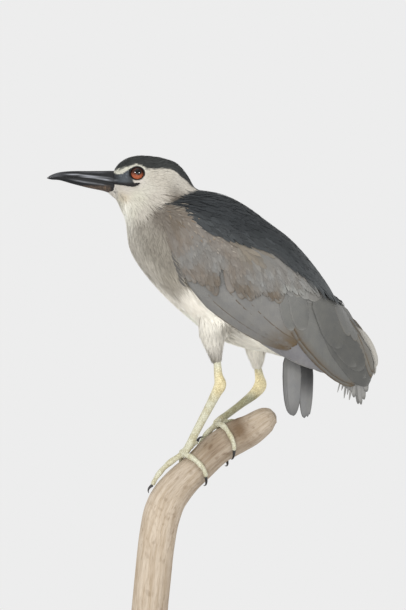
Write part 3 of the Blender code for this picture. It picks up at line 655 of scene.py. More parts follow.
def remeshed(name, parts, voxel, passes):
    """Closed parts made one skin by a voxel remesh and then smoothed: points, normals, faces."""
    obj = show(name, make_mesh(name, *join_parts(parts)))
    remesh = obj.modifiers.new("one skin", "REMESH")
    remesh.mode = "VOXEL"
    remesh.voxel_size = voxel
    relax = obj.modifiers.new("relax", "SMOOTH")
    relax.iterations = passes
    relax.factor = 0.5
    shape = read_mesh(obj)
    bpy.data.objects.remove(obj)
    return shape


# The wing's sections, led by the body's before the wrist and one past the tip.
WING_TABLE = np.concatenate([BODY[6:9, :5], WING[:, :5], [(167.5, 338, 157, 290, 3)]])
WRIST = 3  # WING's first row in that table
WING_ROWS = len(WING) - 1


def section_spot(rows, share):
    """Places (y, z) at shares of the way down sections."""
    return rows[..., 0:2] + (rows[..., 2:4] - rows[..., 0:2]) * share[..., None]


def wing_thickness(tip):
    """The plate's thickness at shares of the way to the wing's tip."""
    return WING_THICK[0] + (WING_THICK[1] - WING_THICK[0]) * tip


def wing_place(at, share, side, lift):
    """Points on a folded wing at row numbers of the wing table and shares of the way down each
    section, lifted off its surface. Each section is a superellipse read by its height."""

    def surface(at, share):
        """Places on the sections alone, with the right wing's slip."""
        rows = spline(WING_TABLE, at)
        if side == "right":
            slip = smooth(8, 10.5, at) * smooth(15, 12.5, at)
            rows[..., :4] += slip[..., None] * np.concatenate([FAR_SLIP, FAR_SLIP])
        x = rows[..., 4] * (1 - np.abs(1 - 2 * share) ** FULLNESS) ** (1 / FULLNESS)
        return np.concatenate([x[..., None], section_spot(rows, share)], axis=-1)

    share = np.clip(share, 0.004, 0.97)
    point = surface(at, share)
    back = surface(at - 0.02, share)
    down = surface(at, np.clip(share + 0.004, 0, 0.985))
    normal = unit(np.cross(down - point, point - back))
    normal *= np.sign(normal[..., :1].mean())
    tip = np.clip((at - WRIST) / WING_ROWS, 0, 1)
    top = np.interp(at - WRIST, np.arange(len(WING)), WING[:, 5])
    tucked = smooth(0.05, 0.15, top) * smooth(top + 0.12, top - 0.08, share)
    stand = WING_STAND * smooth(1.0, 3.0, at) * (1 - 0.6 * tip) * (1 - tucked)
    point = point + normal * (stand + lift)[..., None]
    point[..., 0] = np.maximum(point[..., 0], 0.3)
    point[..., 0] *= SIDES[side]
    return point


def wing_rows(yz):
    """The row numbers and shares of the wing table for places seen from the side (y, z): the
    nearest of a coarse set, bettered by Gauss-Newton steps."""

    def flat(at, share):
        """Places in the side view."""
        return section_spot(spline(WING_TABLE, at), share)

    def cross(one, two):
        """Cross products of flat vectors."""
        return one[:, 0] * two[:, 1] - one[:, 1] * two[:, 0]

    goal, last = yz.reshape(-1, 2), len(WING_TABLE) - 1
    coarse = np.meshgrid(np.linspace(0, last, 49), np.linspace(0, 1, 21), indexing="ij")
    at, share = (part.ravel() for part in coarse)
    near = np.concatenate([
        np.linalg.norm(part[:, None] - flat(at, share)[None], axis=2).argmin(1)
        for part in np.array_split(goal, max(1, len(goal) // 4000))])
    at, share = at[near], share[near]
    for _ in range(8):
        miss = goal - flat(at, share)
        run = (flat(at + 0.05, share) - flat(at - 0.05, share)) / 0.1
        rows = spline(WING_TABLE, at)
        fall = rows[:, 2:4] - rows[:, 0:2]
        det = cross(run, fall)
        det = np.where(np.abs(det) < 1, np.where(det < 0, -1.0, 1.0), det)
        at = np.clip(at + np.clip(cross(miss, fall) / det, -0.7, 0.7), 0, last)
        share = np.clip(share + np.clip(cross(run, miss) / det, -0.3, 0.3), -0.1, 1.1)
    return at.reshape(yz.shape[:-1]), share.reshape(yz.shape[:-1])


def on_wing(yz, side, lift, inner=False):
    """Places over a folded wing's outer side, or under its inner one, for places seen from the
    side (y, z), and the wing's normals there."""
    at, share = wing_rows(yz)
    miss = yz - section_spot(spline(WING_TABLE, at), share)
    low = wing_place(at, share, side, 0 * lift)
    normal = unit(wing_place(at, share, side, 0 * lift + 1.0) - low)
    if inner:
        lift = -wing_thickness(np.clip((at - WRIST) / WING_ROWS, 0, 1)) - lift
    low[..., 1:] += miss
    return low + normal * lift[..., None], normal


def wing_plate(side, outward, inward, start=0):
    """The wing's own plate as a closed tube, its outer face lowered and its inner face raised."""
    at = np.linspace(start, WING_ROWS, 70)[:, None]
    rows = spline(WING, at[:, 0])
    share = rows[:, 5:6] + (rows[:, 6:7] - rows[:, 5:6]) * np.linspace(0, 1, 28)[None, :]
    there = np.broadcast_to(at + WRIST, share.shape)
    inward = inward - wing_thickness(at / WING_ROWS)
    outer, inner = (wing_place(there, share, side, lift + 0 * share)
                    for lift in (outward, inward))
    return tube(np.concatenate([outer, inner[:, ::-1]], axis=1))


FORMS = {}


def form(name):
    """A hidden smooth form that the feathers are laid on: the body alone, or with its wings."""
    if name not in FORMS:
        plates = [wing_plate(side, 0.0, 0.0) for side in SIDES if name == "winged"]
        points, _, faces = remeshed(name, flesh_parts() + plates, 0.0022, 6)
        FORMS[name] = show(f"form_{name}", make_mesh(name, points, triangles=faces))
        FORMS[name].hide_render = True
    return FORMS[name]


def drop(obj):
    """Removes an object and its mesh."""
    mesh = obj.data
    bpy.data.objects.remove(obj)
    bpy.data.meshes.remove(mesh)


def drape(points, name, lift):
    """Points moved to the nearest place on a form, and lifted off it along its normal."""
    probe = show("probe", make_mesh("probe", points))
    wrap = probe.modifiers.new("wrap", "SHRINKWRAP")
    wrap.target = form(name)
    wrap.wrap_mode = "ABOVE_SURFACE"
    wrap.offset = lift * MM
    found = read_mesh(probe)[0]
    drop(probe)
    return found


def on_form(points, name):
    """The nearest places on a form and the normals there."""
    low, high = drape(points, name, 0.0), drape(points, name, 1.0)
    return low, unit(high - low)


def node(tree, kind, inputs=None, **settings):
    """A new node's outputs. Its inputs are values, or outputs of other nodes."""
    made = tree.nodes.new(kind)
    for key, value in settings.items():
        setattr(made, key, value)
    feed(tree, made, inputs or {})
    return made.outputs


def feed(tree, made, inputs):
    """Sets or links a node's inputs, by name or by number."""
    for key, value in inputs.items():
        if isinstance(value, bpy.types.NodeSocket):
            tree.links.new(value, made.inputs[key])
        else:
            made.inputs[key].default_value = value


def scatter(name, weight, spacing, seed):
    """Places on a form that are no nearer to each other than a spacing, thinned by a weight."""
    obj = form(name)
    mark(obj.data, "weight", weight(each(obj.data.vertices, "co", 3).astype(float) / MM))
    group = bpy.data.node_groups.new("scatter", "GeometryNodeTree")
    for way in ("INPUT", "OUTPUT"):
        group.interface.new_socket("Geometry", in_out=way, socket_type="NodeSocketGeometry")
    named = node(group, "GeometryNodeInputNamedAttribute", {"Name": "weight"}, data_type="FLOAT")
    spread = node(group, "GeometryNodeDistributePointsOnFaces",
                  {"Mesh": node(group, "NodeGroupInput")[0], "Distance Min": spacing,
                   "Density Max": 3.0 / spacing**2, "Density Factor": named["Attribute"],
                   "Seed": seed}, distribute_method="POISSON")
    keep = node(group, "GeometryNodePointsToVertices", {0: spread["Points"]})
    node(group, "NodeGroupOutput", {0: keep[0]})
    modifier = obj.modifiers.new("scatter", "NODES")
    modifier.node_group = group
    found = read_mesh(obj)[0]
    obj.modifiers.remove(modifier)
    bpy.data.node_groups.remove(group)
    return found


# ---------------------------------------------------------------- markings and lie


def blend_near(points, places, values, soften):
    """Values at named places blended by nearness: weights fall with the square of the squared
    distance, and the middle plane mirrors the places."""
    flat = points.copy()
    flat[:, 0] = np.abs(flat[:, 0])
    gap = ((flat[:, None] - places[None]) ** 2).sum(2)
    weight = 1 / (gap + soften**2) ** 2
    return weight @ values / weight.sum(1, keepdims=True)


def edge_height(points, line):
    """How far points lie above a line that is drawn on the side view (y, z)."""
    return points[:, 2] - np.interp(points[:, 1], line[:, 0], line[:, 1])


def in_cap(points):
    """Over 0 inside the black cap: above its lower edge, and behind the forehead."""
    edge = edge_height(points, CAP_EDGE) + 0.8 * ripple(points, 5.0, 91)
    return np.minimum(edge, (-31.0 - points[:, 1]) * 0.8)


def in_mantle(points):
    """Over 0 inside the dark mantle: above its lower edge and behind its front edge."""
    _, y, z = points.T
    behind = (y - np.interp(z, MANTLE_FRONT[:, 1], MANTLE_FRONT[:, 0])) * 0.6
    edge = edge_height(points, MANTLE_EDGE) + 1.6 * ripple(points, 12.0, 92)
    return np.minimum(np.minimum(edge, z - 421), behind)


def markings(points):
    """Plumage colour: the named patches blended by nearness, under the cap and the mantle."""
    x, y, z = points.T
    places = np.array([row[1:] for row in PATCHES], float)
    shade = blend_near(points, places, tone(*(row[0] for row in PATCHES)), 6.0)
    over = edge_height(points, COVERT_EDGE) + 14 * smooth(60, 95, y)
    side = smooth(-2, 6, over) * smooth(-70, -54, y) * smooth(18, 30, np.abs(x))
    shade = blend(shade, wing_markings(points), side)
    cap, front, back = tone("cap", "mantle", "mantle_pale")
    brow = smooth(-5.5, -1.0, in_cap(points)) * smooth(-92, -104, y)
    jaw = hump(z, np.interp(y, (-126, -118, -111), (553.5, 549.5, 543)), 1.8)
    jaw = 0.8 * jaw * smooth(-108, -113, y)
    fleck = smooth(0.0, 0.45, ripple(points, 7.0, 95)) * np.maximum(0.7 * brow, jaw)
    shade = blend(shade, cap, fleck)
    bar = np.sin(1.25 * (z - 0.25 * y) + 3 * ripple(points, 18.0, 96))
    bar = bar * smooth(-50, -62, y) * smooth(528, 512, z)
    shade = shade * (1 + 0.05 * bar * smooth(425, 445, z))[:, None]
    low = smooth(24, 4, edge_height(points, MANTLE_EDGE)) * smooth(-50, -20, y)
    back = blend(front, back, np.maximum(smooth(60, 125, y), 0.4 * low))
    for edge, shown in ((in_cap(points), cap), (in_mantle(points), back)):
        shade = blend(shade, shown, smooth(-1.0, 1.0, edge))
    return shade


def wing_markings(points):
    """The coverts' colour, blended in the side view and clouded by two ripples, with random wear and
    the scallops' pale rims and painted shade.
    """
    places = np.array([(0, *row[1:]) for row in WING_PATCHES], float)
    flat = points * (0, 1, 1)
    shade = blend_near(flat, places, tone(*(row[0] for row in WING_PATCHES)), 5.0)
    brown, grey = tone("covert_brown", "covert_grey")
    shade = shade + (brown - grey) * (ripple(flat, 17.0, 51)[:, None] * 0.35)
    # worn holds random wear and the scallops: pale rims, and painted shade just below each rim.
    worn = 0.07 * ripple(flat, 7.0, 52) + 0.14 * scallops(flat[:, 1:])
    return shade * (1 + worn)[:, None]


def scallops(yz):
    """Tone of overlapping round-tipped feathers in staggered rows, seen from the side: over 0 on
    each one's pale rim, and under 0 where the rim above casts its shade."""
    noise = np.concatenate([yz, 0 * yz[:, :1]], axis=1)
    bent = yz + 1.8 * np.stack([ripple(noise, 16.0, seed) for seed in (53, 54)], axis=1)
    along = bent @ (0.36, -0.93) / 11.5
    across = bent @ (0.93, 0.36) / 10.5
    shown, free = np.zeros(len(yz)), np.ones(len(yz), bool)
    for back in (-1, 0, 1):
        row = np.floor(along) + back
        side = across - 0.5 * (row % 2)
        side = side - np.round(side)
        gap = np.hypot((along - row + 0.55) * 11.5 / 12.5, side * 10.5 / 6.6) - 1
        shown = np.where(free & (gap < 0), shown + smooth(-0.26, -0.08, gap) - 0.25, shown)
        free = free & (gap >= 0)
        shown = np.where(free, shown - 0.7 * smooth(0.22, 0.0, gap), shown)
    return shown * smooth(-56, -36, yz[:, 0]) * smooth(112, 84, yz[:, 0])


def thigh_pull(points):
    """How far points belong to a feathered leg, the leg's direction there, and the way down it."""
    weight = np.zeros(len(points))
    run, down = np.zeros_like(points), np.zeros(len(points))
    for side in SIDES:
        rows = spline(THIGHS[side], np.linspace(0, 3, 40))
        gap = np.linalg.norm(points[:, None] - rows[None, :, :3], axis=2)
        near = gap.argmin(1)
        part = smooth(6.5, 1.5, gap[np.arange(len(points)), near] - rows[near, 3])
        part = part * smooth(rows[0, 2] + 6, rows[0, 2] - 12, points[:, 2])
        better = part > weight
        weight = np.where(better, part, weight)
        run[better] = course_run(rows[:, :3])[near[better]]
        down[better] = near[better] / 39
    return weight, run, down


def lie(points):
    """Direction, length, half width and coat depth of the small feathers at points."""
    values = blend_near(points, LIE[:, :3], LIE[:, 3:], 9.0)
    way = values[:, :3]
    way[:, 0] *= np.sign(points[:, 0])
    leg, run, down = thigh_pull(points)
    on_leg = np.stack([16 - 6 * down, 0.7 - 0.15 * down, 2.2 - 1.1 * down], axis=1)
    return unit(blend(unit(way), run, leg)), *blend(values[:, 3:], on_leg, leg).T


def eye_gap(points):
    """Distance from the nearer eye's axis on an upright oval, and the way out from it."""
    out = (points[:, 1:] - EYE[1:]) * (1.0, 1.12)
    reach = np.linalg.norm(out, axis=1)
    reach = np.where(np.abs(points[:, 0]) > 8, reach, 99.0)
    return reach, np.concatenate([0 * reach[:, None], unit(out)], axis=1)


def on_lores(points):
    """Over 0 on the bare skin between the bill, the gape and the eye, seen from the side."""
    rear = np.interp(points[:, 2], (560, 565, 568, 574), (-99.5, -102.5, -104.0, -104.5))
    inside = np.minimum(-edge_height(points, LORE_TOP), edge_height(points, GAPE))
    return np.minimum(inside, rear - points[:, 1])


def horn_colours(points, upper):
    """Slate horn with painted highlights: two pale lines and a grey one along the upper half, one
    along the lower half over its brown patch, and a dark line along the gape. upper tells the halves
    apart."""
    dark, pale, brown = tone("bill", "bill_highlight", "bill_brown")
    _, y, z = points.T
    noise = ripple(points * (1, 0.12, 1), 2.2, 71)

    def line(ys, zs, width, first, last, strength):
        """A soft line that fades out at both ends."""
        ends = smooth(first - 8, first + 6, y) * smooth(last + 8, last - 6, y)
        return hump(z, np.interp(y, ys, zs), width) * ends * strength * (1 + 0.5 * noise)

    # high and low are the painted highlights of the upper and the lower half.
    high = sum(line(*row) for row in BILL_HIGHLIGHTS) + 0.16 * smooth(-176, -192, y)
    low = line(*BILL_LOW_HIGHLIGHT)
    tan = smooth(-172, -160, y) * smooth(-124, -134, y) * smooth(561.4, 558.6, z)
    speck = smooth(0.1, 0.5, ripple(points * (1, 0.7, 1), 1.6, 72))
    tan = np.where(upper, 0, tan * (0.7 + 0.3 * noise) * (0.35 + 0.65 * speck)).clip(0, 1)
    shade = blend(blend(dark, brown, tan), pale, np.where(upper, high, low).clip(0, 1))
    seam = hump(z, np.interp(y, BILL[:, 0], BILL[:, 2]), 0.7)
    return shade * (1 - 0.75 * seam[:, None])


def lore_colours(points):
    """Slate blue skin with pale specks that takes over the bill's lines with their painted highlights,
    darker round the eye.
    """
    _, y, z = points.T
    mottle = 1 + 0.14 * ripple(points, 4.0, 61) + 0.12 * ripple(points, 1.9, 62)
    speck = smooth(0.35, 0.6, ripple(points, 3.0, 64)) * smooth(566, 570, z)
    gloom = 1 - 0.55 * smooth(-110, -104, y) - 0.3 * smooth(573, 576, z)
    shade = tone("lore") * (mottle * gloom + 0.9 * speck)[:, None]
    # The bill's painted highlights run on over the front of the lores.
    shade = blend(shade, horn_colours(points, z > 560), smooth(-114, -124, y) * 0.85)
    return shade * (1 - 0.7 * smooth(564.2, 562.6, z)[:, None])


# ---------------------------------------------------------------- materials

EVEN = (1.0, 1.0, 1.0)
BARBS = ("Vane", (7.0, 1.2, 1.0), 2.2, 4.0)
# Each finish: roughness, specular, sheen, own colour, the bump's strength and depth, and layers.
# A layer is a map, its scale, the scale and detail of the noise, and the stops of a ramp.
FINISHES = {
    "dark_feather": (0.6, 0.25, 0, "Tint", (0.35, 0.0004), (*BARBS, (0.3, 0.84), (0.7, 1.16))),
    "pale_feather": (0.85, 0.3, 0.15, "Tint", (0.35, 0.0004), (*BARBS, (0.3, 0.95), (0.7, 1.05))),
    "mantle_feather": (0.65, 0.2, 0, "Tint", (0.35, 0.0004), (*BARBS, (0.3, 0.82), (0.7, 1.18))),
    "wing_feather": (0.55, 0.3, 0.1, "Edge", (0.3, 0.0003),
                     ("Vane", (14.0, 0.9, 1.0), 1.0, 3.0, (0.3, 0.90), (0.7, 1.08)),
                     ("Object", EVEN, 90.0, 3.0, (0.35, (0.93, 0.93, 0.94)),
                      (0.65, (1.05, 1.04, 1.02)))),
    "skin": (0.75, 0.25, 0, "Tint", (0.4, 0.0004),
             ("Object", EVEN, 900.0, 3.0, (0.3, 0.85), (0.7, 1.08))),
    "lore_skin": (0.45, 0.3, 0, "Tint", (0.5, 0.0004),
                  ("Object", EVEN, 1300.0, 3.0, (0.32, 0.75), (0.68, 1.15))),
    "scaly_skin": (0.5, 0.4, 0, "Tint", (0.5, 0.0005),
                   ("Cells", (1.0, 1.0, 0.75), 560.0, 0.0, (0.0, (0.60, 0.57, 0.50)),
                    (0.10, (0.95, 0.94, 0.92)), (0.3, 1.03)),
                   ("Object", (1.0, 1.0, 0.75), 130.0, 4.0, (0.36, (0.84, 0.80, 0.70)),
                    (0.56, 1.02))),
    "bill_horn": (0.36, 0.22, 0, "Tint", (0.25, 0.0004),
                  ("Object", (1.0, 0.05, 1.0), 420.0, 3.0, (0.42, 1.0), (0.66, (1.5, 1.5, 1.54)))),
    "claw_horn": (0.35, 0.5, 0, "claw", (0.2, 0.0003),
                  ("Object", EVEN, 700.0, 3.0, (0.3, 0.7), (0.75, 1.7))),
    "driftwood": (0.8, 0.25, 0, "Tint", (0.5, 0.0007),
                  ("Grain", (60.0, 3.5, 1.0), 1.6, 5.0, (0.30, (0.66, 0.60, 0.53)), (0.47, 0.97),
                   (0.75, 1.08)),
                  ("Grain", (14.0, 1.1, 1.0), 1.2, 3.0, (0.30, (0.82, 0.77, 0.70)), (0.62, 1.06))),
    "stand_wood": (0.42, 0.45, 0, "base", (0.12, 0.0005),
                   ("Object", (9.0, 0.7, 9.0), 26.0, 6.0, (0.3, 0.55), (0.7, 1.5))),
    "stand_steel": (0.32, 0.5, 0, "steel", None,
                    ("Object", (1.0, 1.0, 0.03), 900.0, 3.0, (0.3, 0.85), (0.7, 1.0))),
    "floor": (0.9, 0.1, 0, "backdrop", None,
              ("Object", EVEN, 60.0, 3.0, (0.3, 0.97), (0.7, 1.0))),
    "eye_glass": (0.03, 0.25, 0, "Tint", None),
}
MATERIALS = {}


def grain(tree, chart, stretch, scale, detail, *stops):
    """A layer of noise, or of cells, on a map: its height, and its colours through a ramp."""
    if chart in ("Object", "Cells"):
        where = node(tree, "ShaderNodeTexCoord")["Object"]
    else:
        where = node(tree, "ShaderNodeUVMap", uv_map=chart)["UV"]
    inputs = {"Vector": node(tree, "ShaderNodeMapping", {"Scale": stretch, "Vector": where})[0],
              "Scale": scale}
    if chart == "Cells":
        value = node(tree, "ShaderNodeTexVoronoi", inputs, feature="DISTANCE_TO_EDGE")["Distance"]
    else:
        value = node(tree, "ShaderNodeTexNoise", {**inputs, "Detail": detail})["Fac"]
    ramp = tree.nodes.new("ShaderNodeValToRGB")
    band = ramp.color_ramp.elements
    while len(band) < len(stops):
        band.new(0.5)
    for element, (place, shade) in zip(band, stops):
        element.position = place
        element.color = (*np.broadcast_to(shade, 3), 1.0)
    feed(tree, ramp, {"Fac": value})
    return (ramp.outputs[0] if chart == "Cells" else value), ramp.outputs[0]


def own_colour(tree, own, layers):
    """A finish's own colour: a property's, the Tint attribute, or Tint with the Edge attribute
    over the margins of a vane, which Rim marks and the second layer breaks up."""
    if own not in ("Tint", "Edge"):
        return (*tone(own), 1.0)

    def attribute(name):
        """The outputs of a mesh's attribute."""
        return node(tree, "ShaderNodeAttribute", attribute_name=name)

    tint = attribute("Tint")["Color"]
    if own == "Tint":
        return tint
    worn = node(tree, "ShaderNodeMapRange",
                {"Value": layers[1][0], "From Min": 0.22, "From Max": 0.5})["Result"]
    share = node(tree, "ShaderNodeMath", {0: attribute("Rim")["Fac"], 1: worn},
                 operation="MULTIPLY")[0]
    return node(tree, "ShaderNodeMix", {"Factor": share, 6: tint, 7: attribute("Edge")["Color"]},
                data_type="RGBA")[2]


def finish(name):
    """The material of that name, made when it is first wanted: its own colour multiplied by its
    layers, the first of which is its bump too."""
    if name in MATERIALS:
        return MATERIALS[name]
    roughness, specular, sheen, own, bump, *layers = FINISHES[name]
    material = MATERIALS[name] = bpy.data.materials.new(name)
    material.use_nodes = True
    tree = material.node_tree
    layers = [grain(tree, *layer) for layer in layers]
    base = own_colour(tree, own, layers)
    for _, shade in layers:
        base = node(tree, "ShaderNodeMix", {"Factor": 1.0, 6: base, 7: shade}, data_type="RGBA",
                    blend_type="MULTIPLY")[2]
    inputs = {"Roughness": roughness, "Specular IOR Level": specular, "Base Color": base,
              "Metallic": float(own == "steel")}
    if sheen:
        inputs |= {"Sheen Weight": sheen, "Sheen Roughness": 0.6}
    if bump:
        inputs["Normal"] = node(tree, "ShaderNodeBump", {
            "Strength": bump[0], "Distance": bump[1], "Height": layers[0][0]})["Normal"]
    feed(tree, tree.nodes["Principled BSDF"], inputs)
    return material


# ---------------------------------------------------------------- small feathers

SHAPES = {
    "tuft": ((0.0, 0.3, 0.62, 0.86, 1.0), (0.45, 0.95, 1.0, 0.68, 0.12)),
    "lance": ((0.0, 0.3, 0.6, 0.84, 1.0), (0.5, 0.92, 1.0, 0.74, 0.08)),
    "wisp": ((0.0, 0.35, 0.7, 1.0), (0.6, 1.0, 0.7, 0.06)),
}
MOST_TRIANGLES = 190000


def lay_feathers(roots, name, shape, seed, scale=1.0, swing=7.0, tip_lift=0.35, sink=0.7,
                 base=0.0, crest=0.12):
    """Courses of small feathers from their roots. Each goes on by equal steps along the lie and
    is dropped on the form at every step. It starts inside the coat and its tip stands clear.
    Returns the points (feather, station, section point, xyz) and the stations' shares."""
    rng = np.random.default_rng(seed)
    count = len(roots)
    along, girth = (np.array(v) for v in SHAPES[shape])
    way, reach, half, depth = lie(roots)
    reach = reach * scale * rng.uniform(0.8, 1.2, count)
    half = half * rng.uniform(0.8, 1.2, count)
    turn = np.radians(rng.normal(0, swing, count))[:, None]
    here = roots
    stations = []
    for step in np.diff(along, append=along[-1]):
        here, normal = on_form(here, name)
        gap, out = eye_gap(here)
        here = here + out * np.maximum(8.1 - gap, 0)[:, None]
        way = unit(lie(here)[0] + out * smooth(12, 8.5, gap)[:, None] * 0.8)
        way = unit(way - normal * (way * normal).sum(1, keepdims=True))
        way = way * np.cos(turn) + np.cross(normal, way) * np.sin(turn)
        stations.append((here, np.cross(normal, way), normal))
        here = here + way * (reach * step)[:, None]
    centres, sides, normals = (np.stack(v, axis=1) for v in zip(*stations))
    start = base(roots)[:, None] if callable(base) else base
    lift = start - sink * depth[:, None] * (1 - along) ** 0.85
    lift = lift + (tip_lift * rng.uniform(0.2, 1.3, count))[:, None] * along**2
    middle = centres + normals * lift[..., None]
    spread = sides * (half[:, None] * girth)[..., None]
    ridge = normals * (0.05 + crest * half[:, None] * girth)[..., None]
    return np.stack([middle - spread, middle + ridge, middle + spread], axis=2), along


def feather_mesh(name, grid, along, tint, seed):
    """One mesh from feathers of three-pointed sections: left edge, crest, right edge. The Vane
    map is per feather, and OFBake puts each on a small patch at its root's place on an unwrap of
    the body: the way along it, and the angle round it."""
    count, stations = grid.shape[:2]
    shape = (count, stations, 3)
    start = (np.arange(count) * stations * 3)[:, None]
    ring = start[..., None] + np.arange(stations - 1)[None, :, None] * 3
    quads = np.concatenate([
        np.stack([ring + a, ring + b, ring + 3 + b, ring + 3 + a], axis=-1).reshape(-1, 4)
        for a, b in ((1, 0), (2, 1), (0, 2))])
    caps = np.concatenate([start + [[0, 1, 2]], start + stations * 3 - 3 + [[2, 1, 0]]])
    place = np.stack([np.broadcast_to([0.0, 0.5, 1.0], shape),
                      np.broadcast_to(along[None, :, None], shape)], axis=-1)
    vane = place * (1.0, 4.0) + np.random.default_rng(seed).uniform(0, 90, (count, 1, 1, 2))
    x, y, z = grid[:, 0, 1].T
    axis = np.interp(y, (-200, -110, -40, 40, 130), (566, 555, 500, 450, 380))
    turn = np.arctan2(x, z - axis) / (2 * math.pi)
    away = y - 0.6 * z
    away = (away - away.min()) / np.ptp(away)
    spot = np.stack([0.02 + 0.96 * away, 0.5 + 0.96 * turn], axis=1)[:, None, None]
    patch = spot + (place - 0.5) * 0.003
    colours = np.broadcast_to(tint[:, :, None], (*shape, 3)).reshape(-1, 3)

    def rim(one, two):
        """Edges along a feather's two margins, and across its stations."""
        return (one % 3 == two % 3) & (one % 3 != 1) | (one // 3 == two // 3)

    return make_mesh(name, grid.reshape(-1, 3), quads, caps, colours,
                     {"Vane": vane.reshape(-1, 2), "OFBake": patch.reshape(-1, 2)}, rim)


def shade_feathers(base, along, seed, spread, tip, root):
    """A colour per station: each feather's own, a little lighter or darker than its neighbours, darker
    at the root, where painted shade stands for the feathers that lie over it, and lighter at the tip."""
    own = 1 + np.random.default_rng(seed).normal(0, spread, (len(base), 1, 1))
    # root paints the shade under the overlying feathers onto each feather's root.
    run = 1 + root * (1 - along) ** 2 + tip * along**2
    return np.clip(base[:, None] * own * run[None, :, None], 0.0, 0.95)


def coat(name, area, form_name, spacing, seed, keep=None, shape="wisp", material="pale_feather",
         colours=markings, spread=0.05, tip=0.05, root=-0.08, **looks):
    """A piece of coat: feathers rooted all over an area (a weight per place), all joined. keep
    is a test on their roots and tips. A coat of too many triangles is parted into several pieces
    from the bill to the tail."""
    seed += bpy.context.scene.heron_sizes.seed
    roots = scatter(form_name, area, spacing, seed)
    if not len(roots):
        raise RuntimeError(f"{name}: no feather found a root")
    grid, along = lay_feathers(roots, form_name, shape, seed + 1, **looks)
    if keep is not None:
        grid = grid[keep(grid[:, 0, 1], grid[:, -1, 1])]
    grid = grid[grid[:, 0, 1, 1].argsort()]
    tint = shade_feathers(colours(grid[:, -2, 1]), along, seed + 2, spread, tip, root)
    parts = math.ceil(len(grid) * (len(along) - 1) * 6.7 / MOST_TRIANGLES)
    for number, some in enumerate(np.array_split(np.arange(len(grid)), parts), 1):
        label = f"{name}_{number}" if parts > 1 else name
        add_piece(label, feather_mesh(label, grid[some], along, tint[some], seed + 3), [material])


# ---------------------------------------------------------------- large feathers

VANE_ACROSS = np.array([-1.0, -0.84, -0.55, -0.22, -0.05, 0.05, 0.22, 0.55, 0.84, 1.0])
VANE_RUN = 1 - (1 - np.linspace(0, 1, 16)) ** 1.5  # stations from root to tip, closer at the tip
BULGE = 1 - VANE_ACROSS**2
QUILL = hump(VANE_ACROSS, 0, 0.1)


def vane_girth(start, swell, blunt):
    """Half width along a vane: it swells from its start and closes as a superellipse."""
    widen = start + (1 - start) * smooth(0, swell, VANE_RUN)
    return widen * np.sqrt(1 - np.minimum(VANE_RUN, 0.9993) ** blunt)


def vane_outline(root, tip, half, bow, blunt, rng, ragged=0.02):
    """Flat vanes: points (feather, station, across, 2), their lengths and how far each point is
    from the quill, which is a shallow arc from root to tip. The edges are worn."""
    chord = tip - root
    reach = np.linalg.norm(chord, axis=1)
    way = chord / reach[:, None]
    down = np.stack([way[:, 1], -way[:, 0]], axis=1)
    quill = (root[:, None] + chord[:, None] * VANE_RUN[:, None]
             + down[:, None] * (bow * 4 * VANE_RUN * (1 - VANE_RUN))[:, None])
    local = unit(np.gradient(quill, axis=1))
    square = np.stack([local[..., 1], -local[..., 0]], axis=-1)
    width = half[:, None, None] * vane_girth(0.3, 0.32, blunt)[None, :, None]
    offset = width * VANE_ACROSS
    offset = offset * (1 + rng.normal(0, ragged, offset.shape))
    return quill[:, :, None] + square[:, :, None] * offset[..., None], reach, offset


def vane_faces(count):
    """Quads of closed vanes, numbered feather by feather, upper face first and then lower face."""
    stations, across = len(VANE_RUN), len(VANE_ACROSS)
    upper = np.arange(stations * across).reshape(stations, across)
    lower = upper + stations * across
    face = np.stack([upper[:-1, :-1], upper[1:, :-1], upper[1:, 1:], upper[:-1, 1:]], -1)
    quads = [face.reshape(-1, 4), (face + stations * across)[..., ::-1].reshape(-1, 4)]
    for line, under, flip in ((upper[:, 0], lower[:, 0], -1), (upper[:, -1], lower[:, -1], 1),
                              (upper[0], lower[0], 1), (upper[-1], lower[-1], -1)):
        quads.append(np.stack([line[:-1], line[1:], under[1:], under[:-1]], -1)[:, ::flip])
    first = np.arange(count) * 2 * stations * across
    return (np.concatenate(quads)[None] + first[:, None, None]).reshape(-1, 4)


def vane_mesh(name, upper, lower, tint, edge, reach, offset, margin, cells, seed, worn=0.93):
    """One mesh of closed vanes. Tint and Edge are colours, Rim rises from 0 to 1 over each vane's
    margin, the Vane map follows the barbs, and OFBake gives every feather a cell of its own."""
    count = len(upper)
    rng = np.random.default_rng(seed)

    def spread(values, width):
        """Values repeated for every point of both faces."""
        shape = (count, 2, len(VANE_RUN), len(VANE_ACROSS), width)
        return np.broadcast_to(values, shape).reshape(-1, width)

    along = VANE_RUN[None, :, None] * reach[:, None, None]
    barb = along - np.abs(offset) * 1.3 + rng.uniform(0, 500, (count, 1, 1))
    vane = np.stack([barb, np.abs(offset) + 7 * np.sign(offset)], axis=-1)[:, None]
    side = math.ceil(math.sqrt(cells[1]))
    number = cells[0] + np.arange(count)
    corner = np.stack([number % side, number // side], axis=1) / side
    inside = np.stack(np.broadcast_arrays((VANE_ACROSS / 2 + 0.5)[None, :], VANE_RUN[:, None]), -1)
    flat = corner[:, None, None] + (0.06 + 0.88 * inside[None]) / side
    mesh = make_mesh(name, np.stack([upper, lower], axis=1).reshape(-1, 3), vane_faces(count),
                     tint=spread(tint[:, None], 3),
                     maps={"Vane": spread(vane, 2) * 0.1, "OFBake": spread(flat[:, None], 2)})
    rim = np.maximum(np.clip((np.abs(VANE_ACROSS) - 1 + margin) / margin, 0, 1),
                     smooth(worn, 1.0, VANE_RUN)[:, None])
    mark(mesh, "Rim", spread(rim[..., None], 1))
    mark(mesh, "Edge", spread(np.reshape(edge, (-1, 1, 1, 1, 3)), 3), "FLOAT_COLOR")
    return mesh


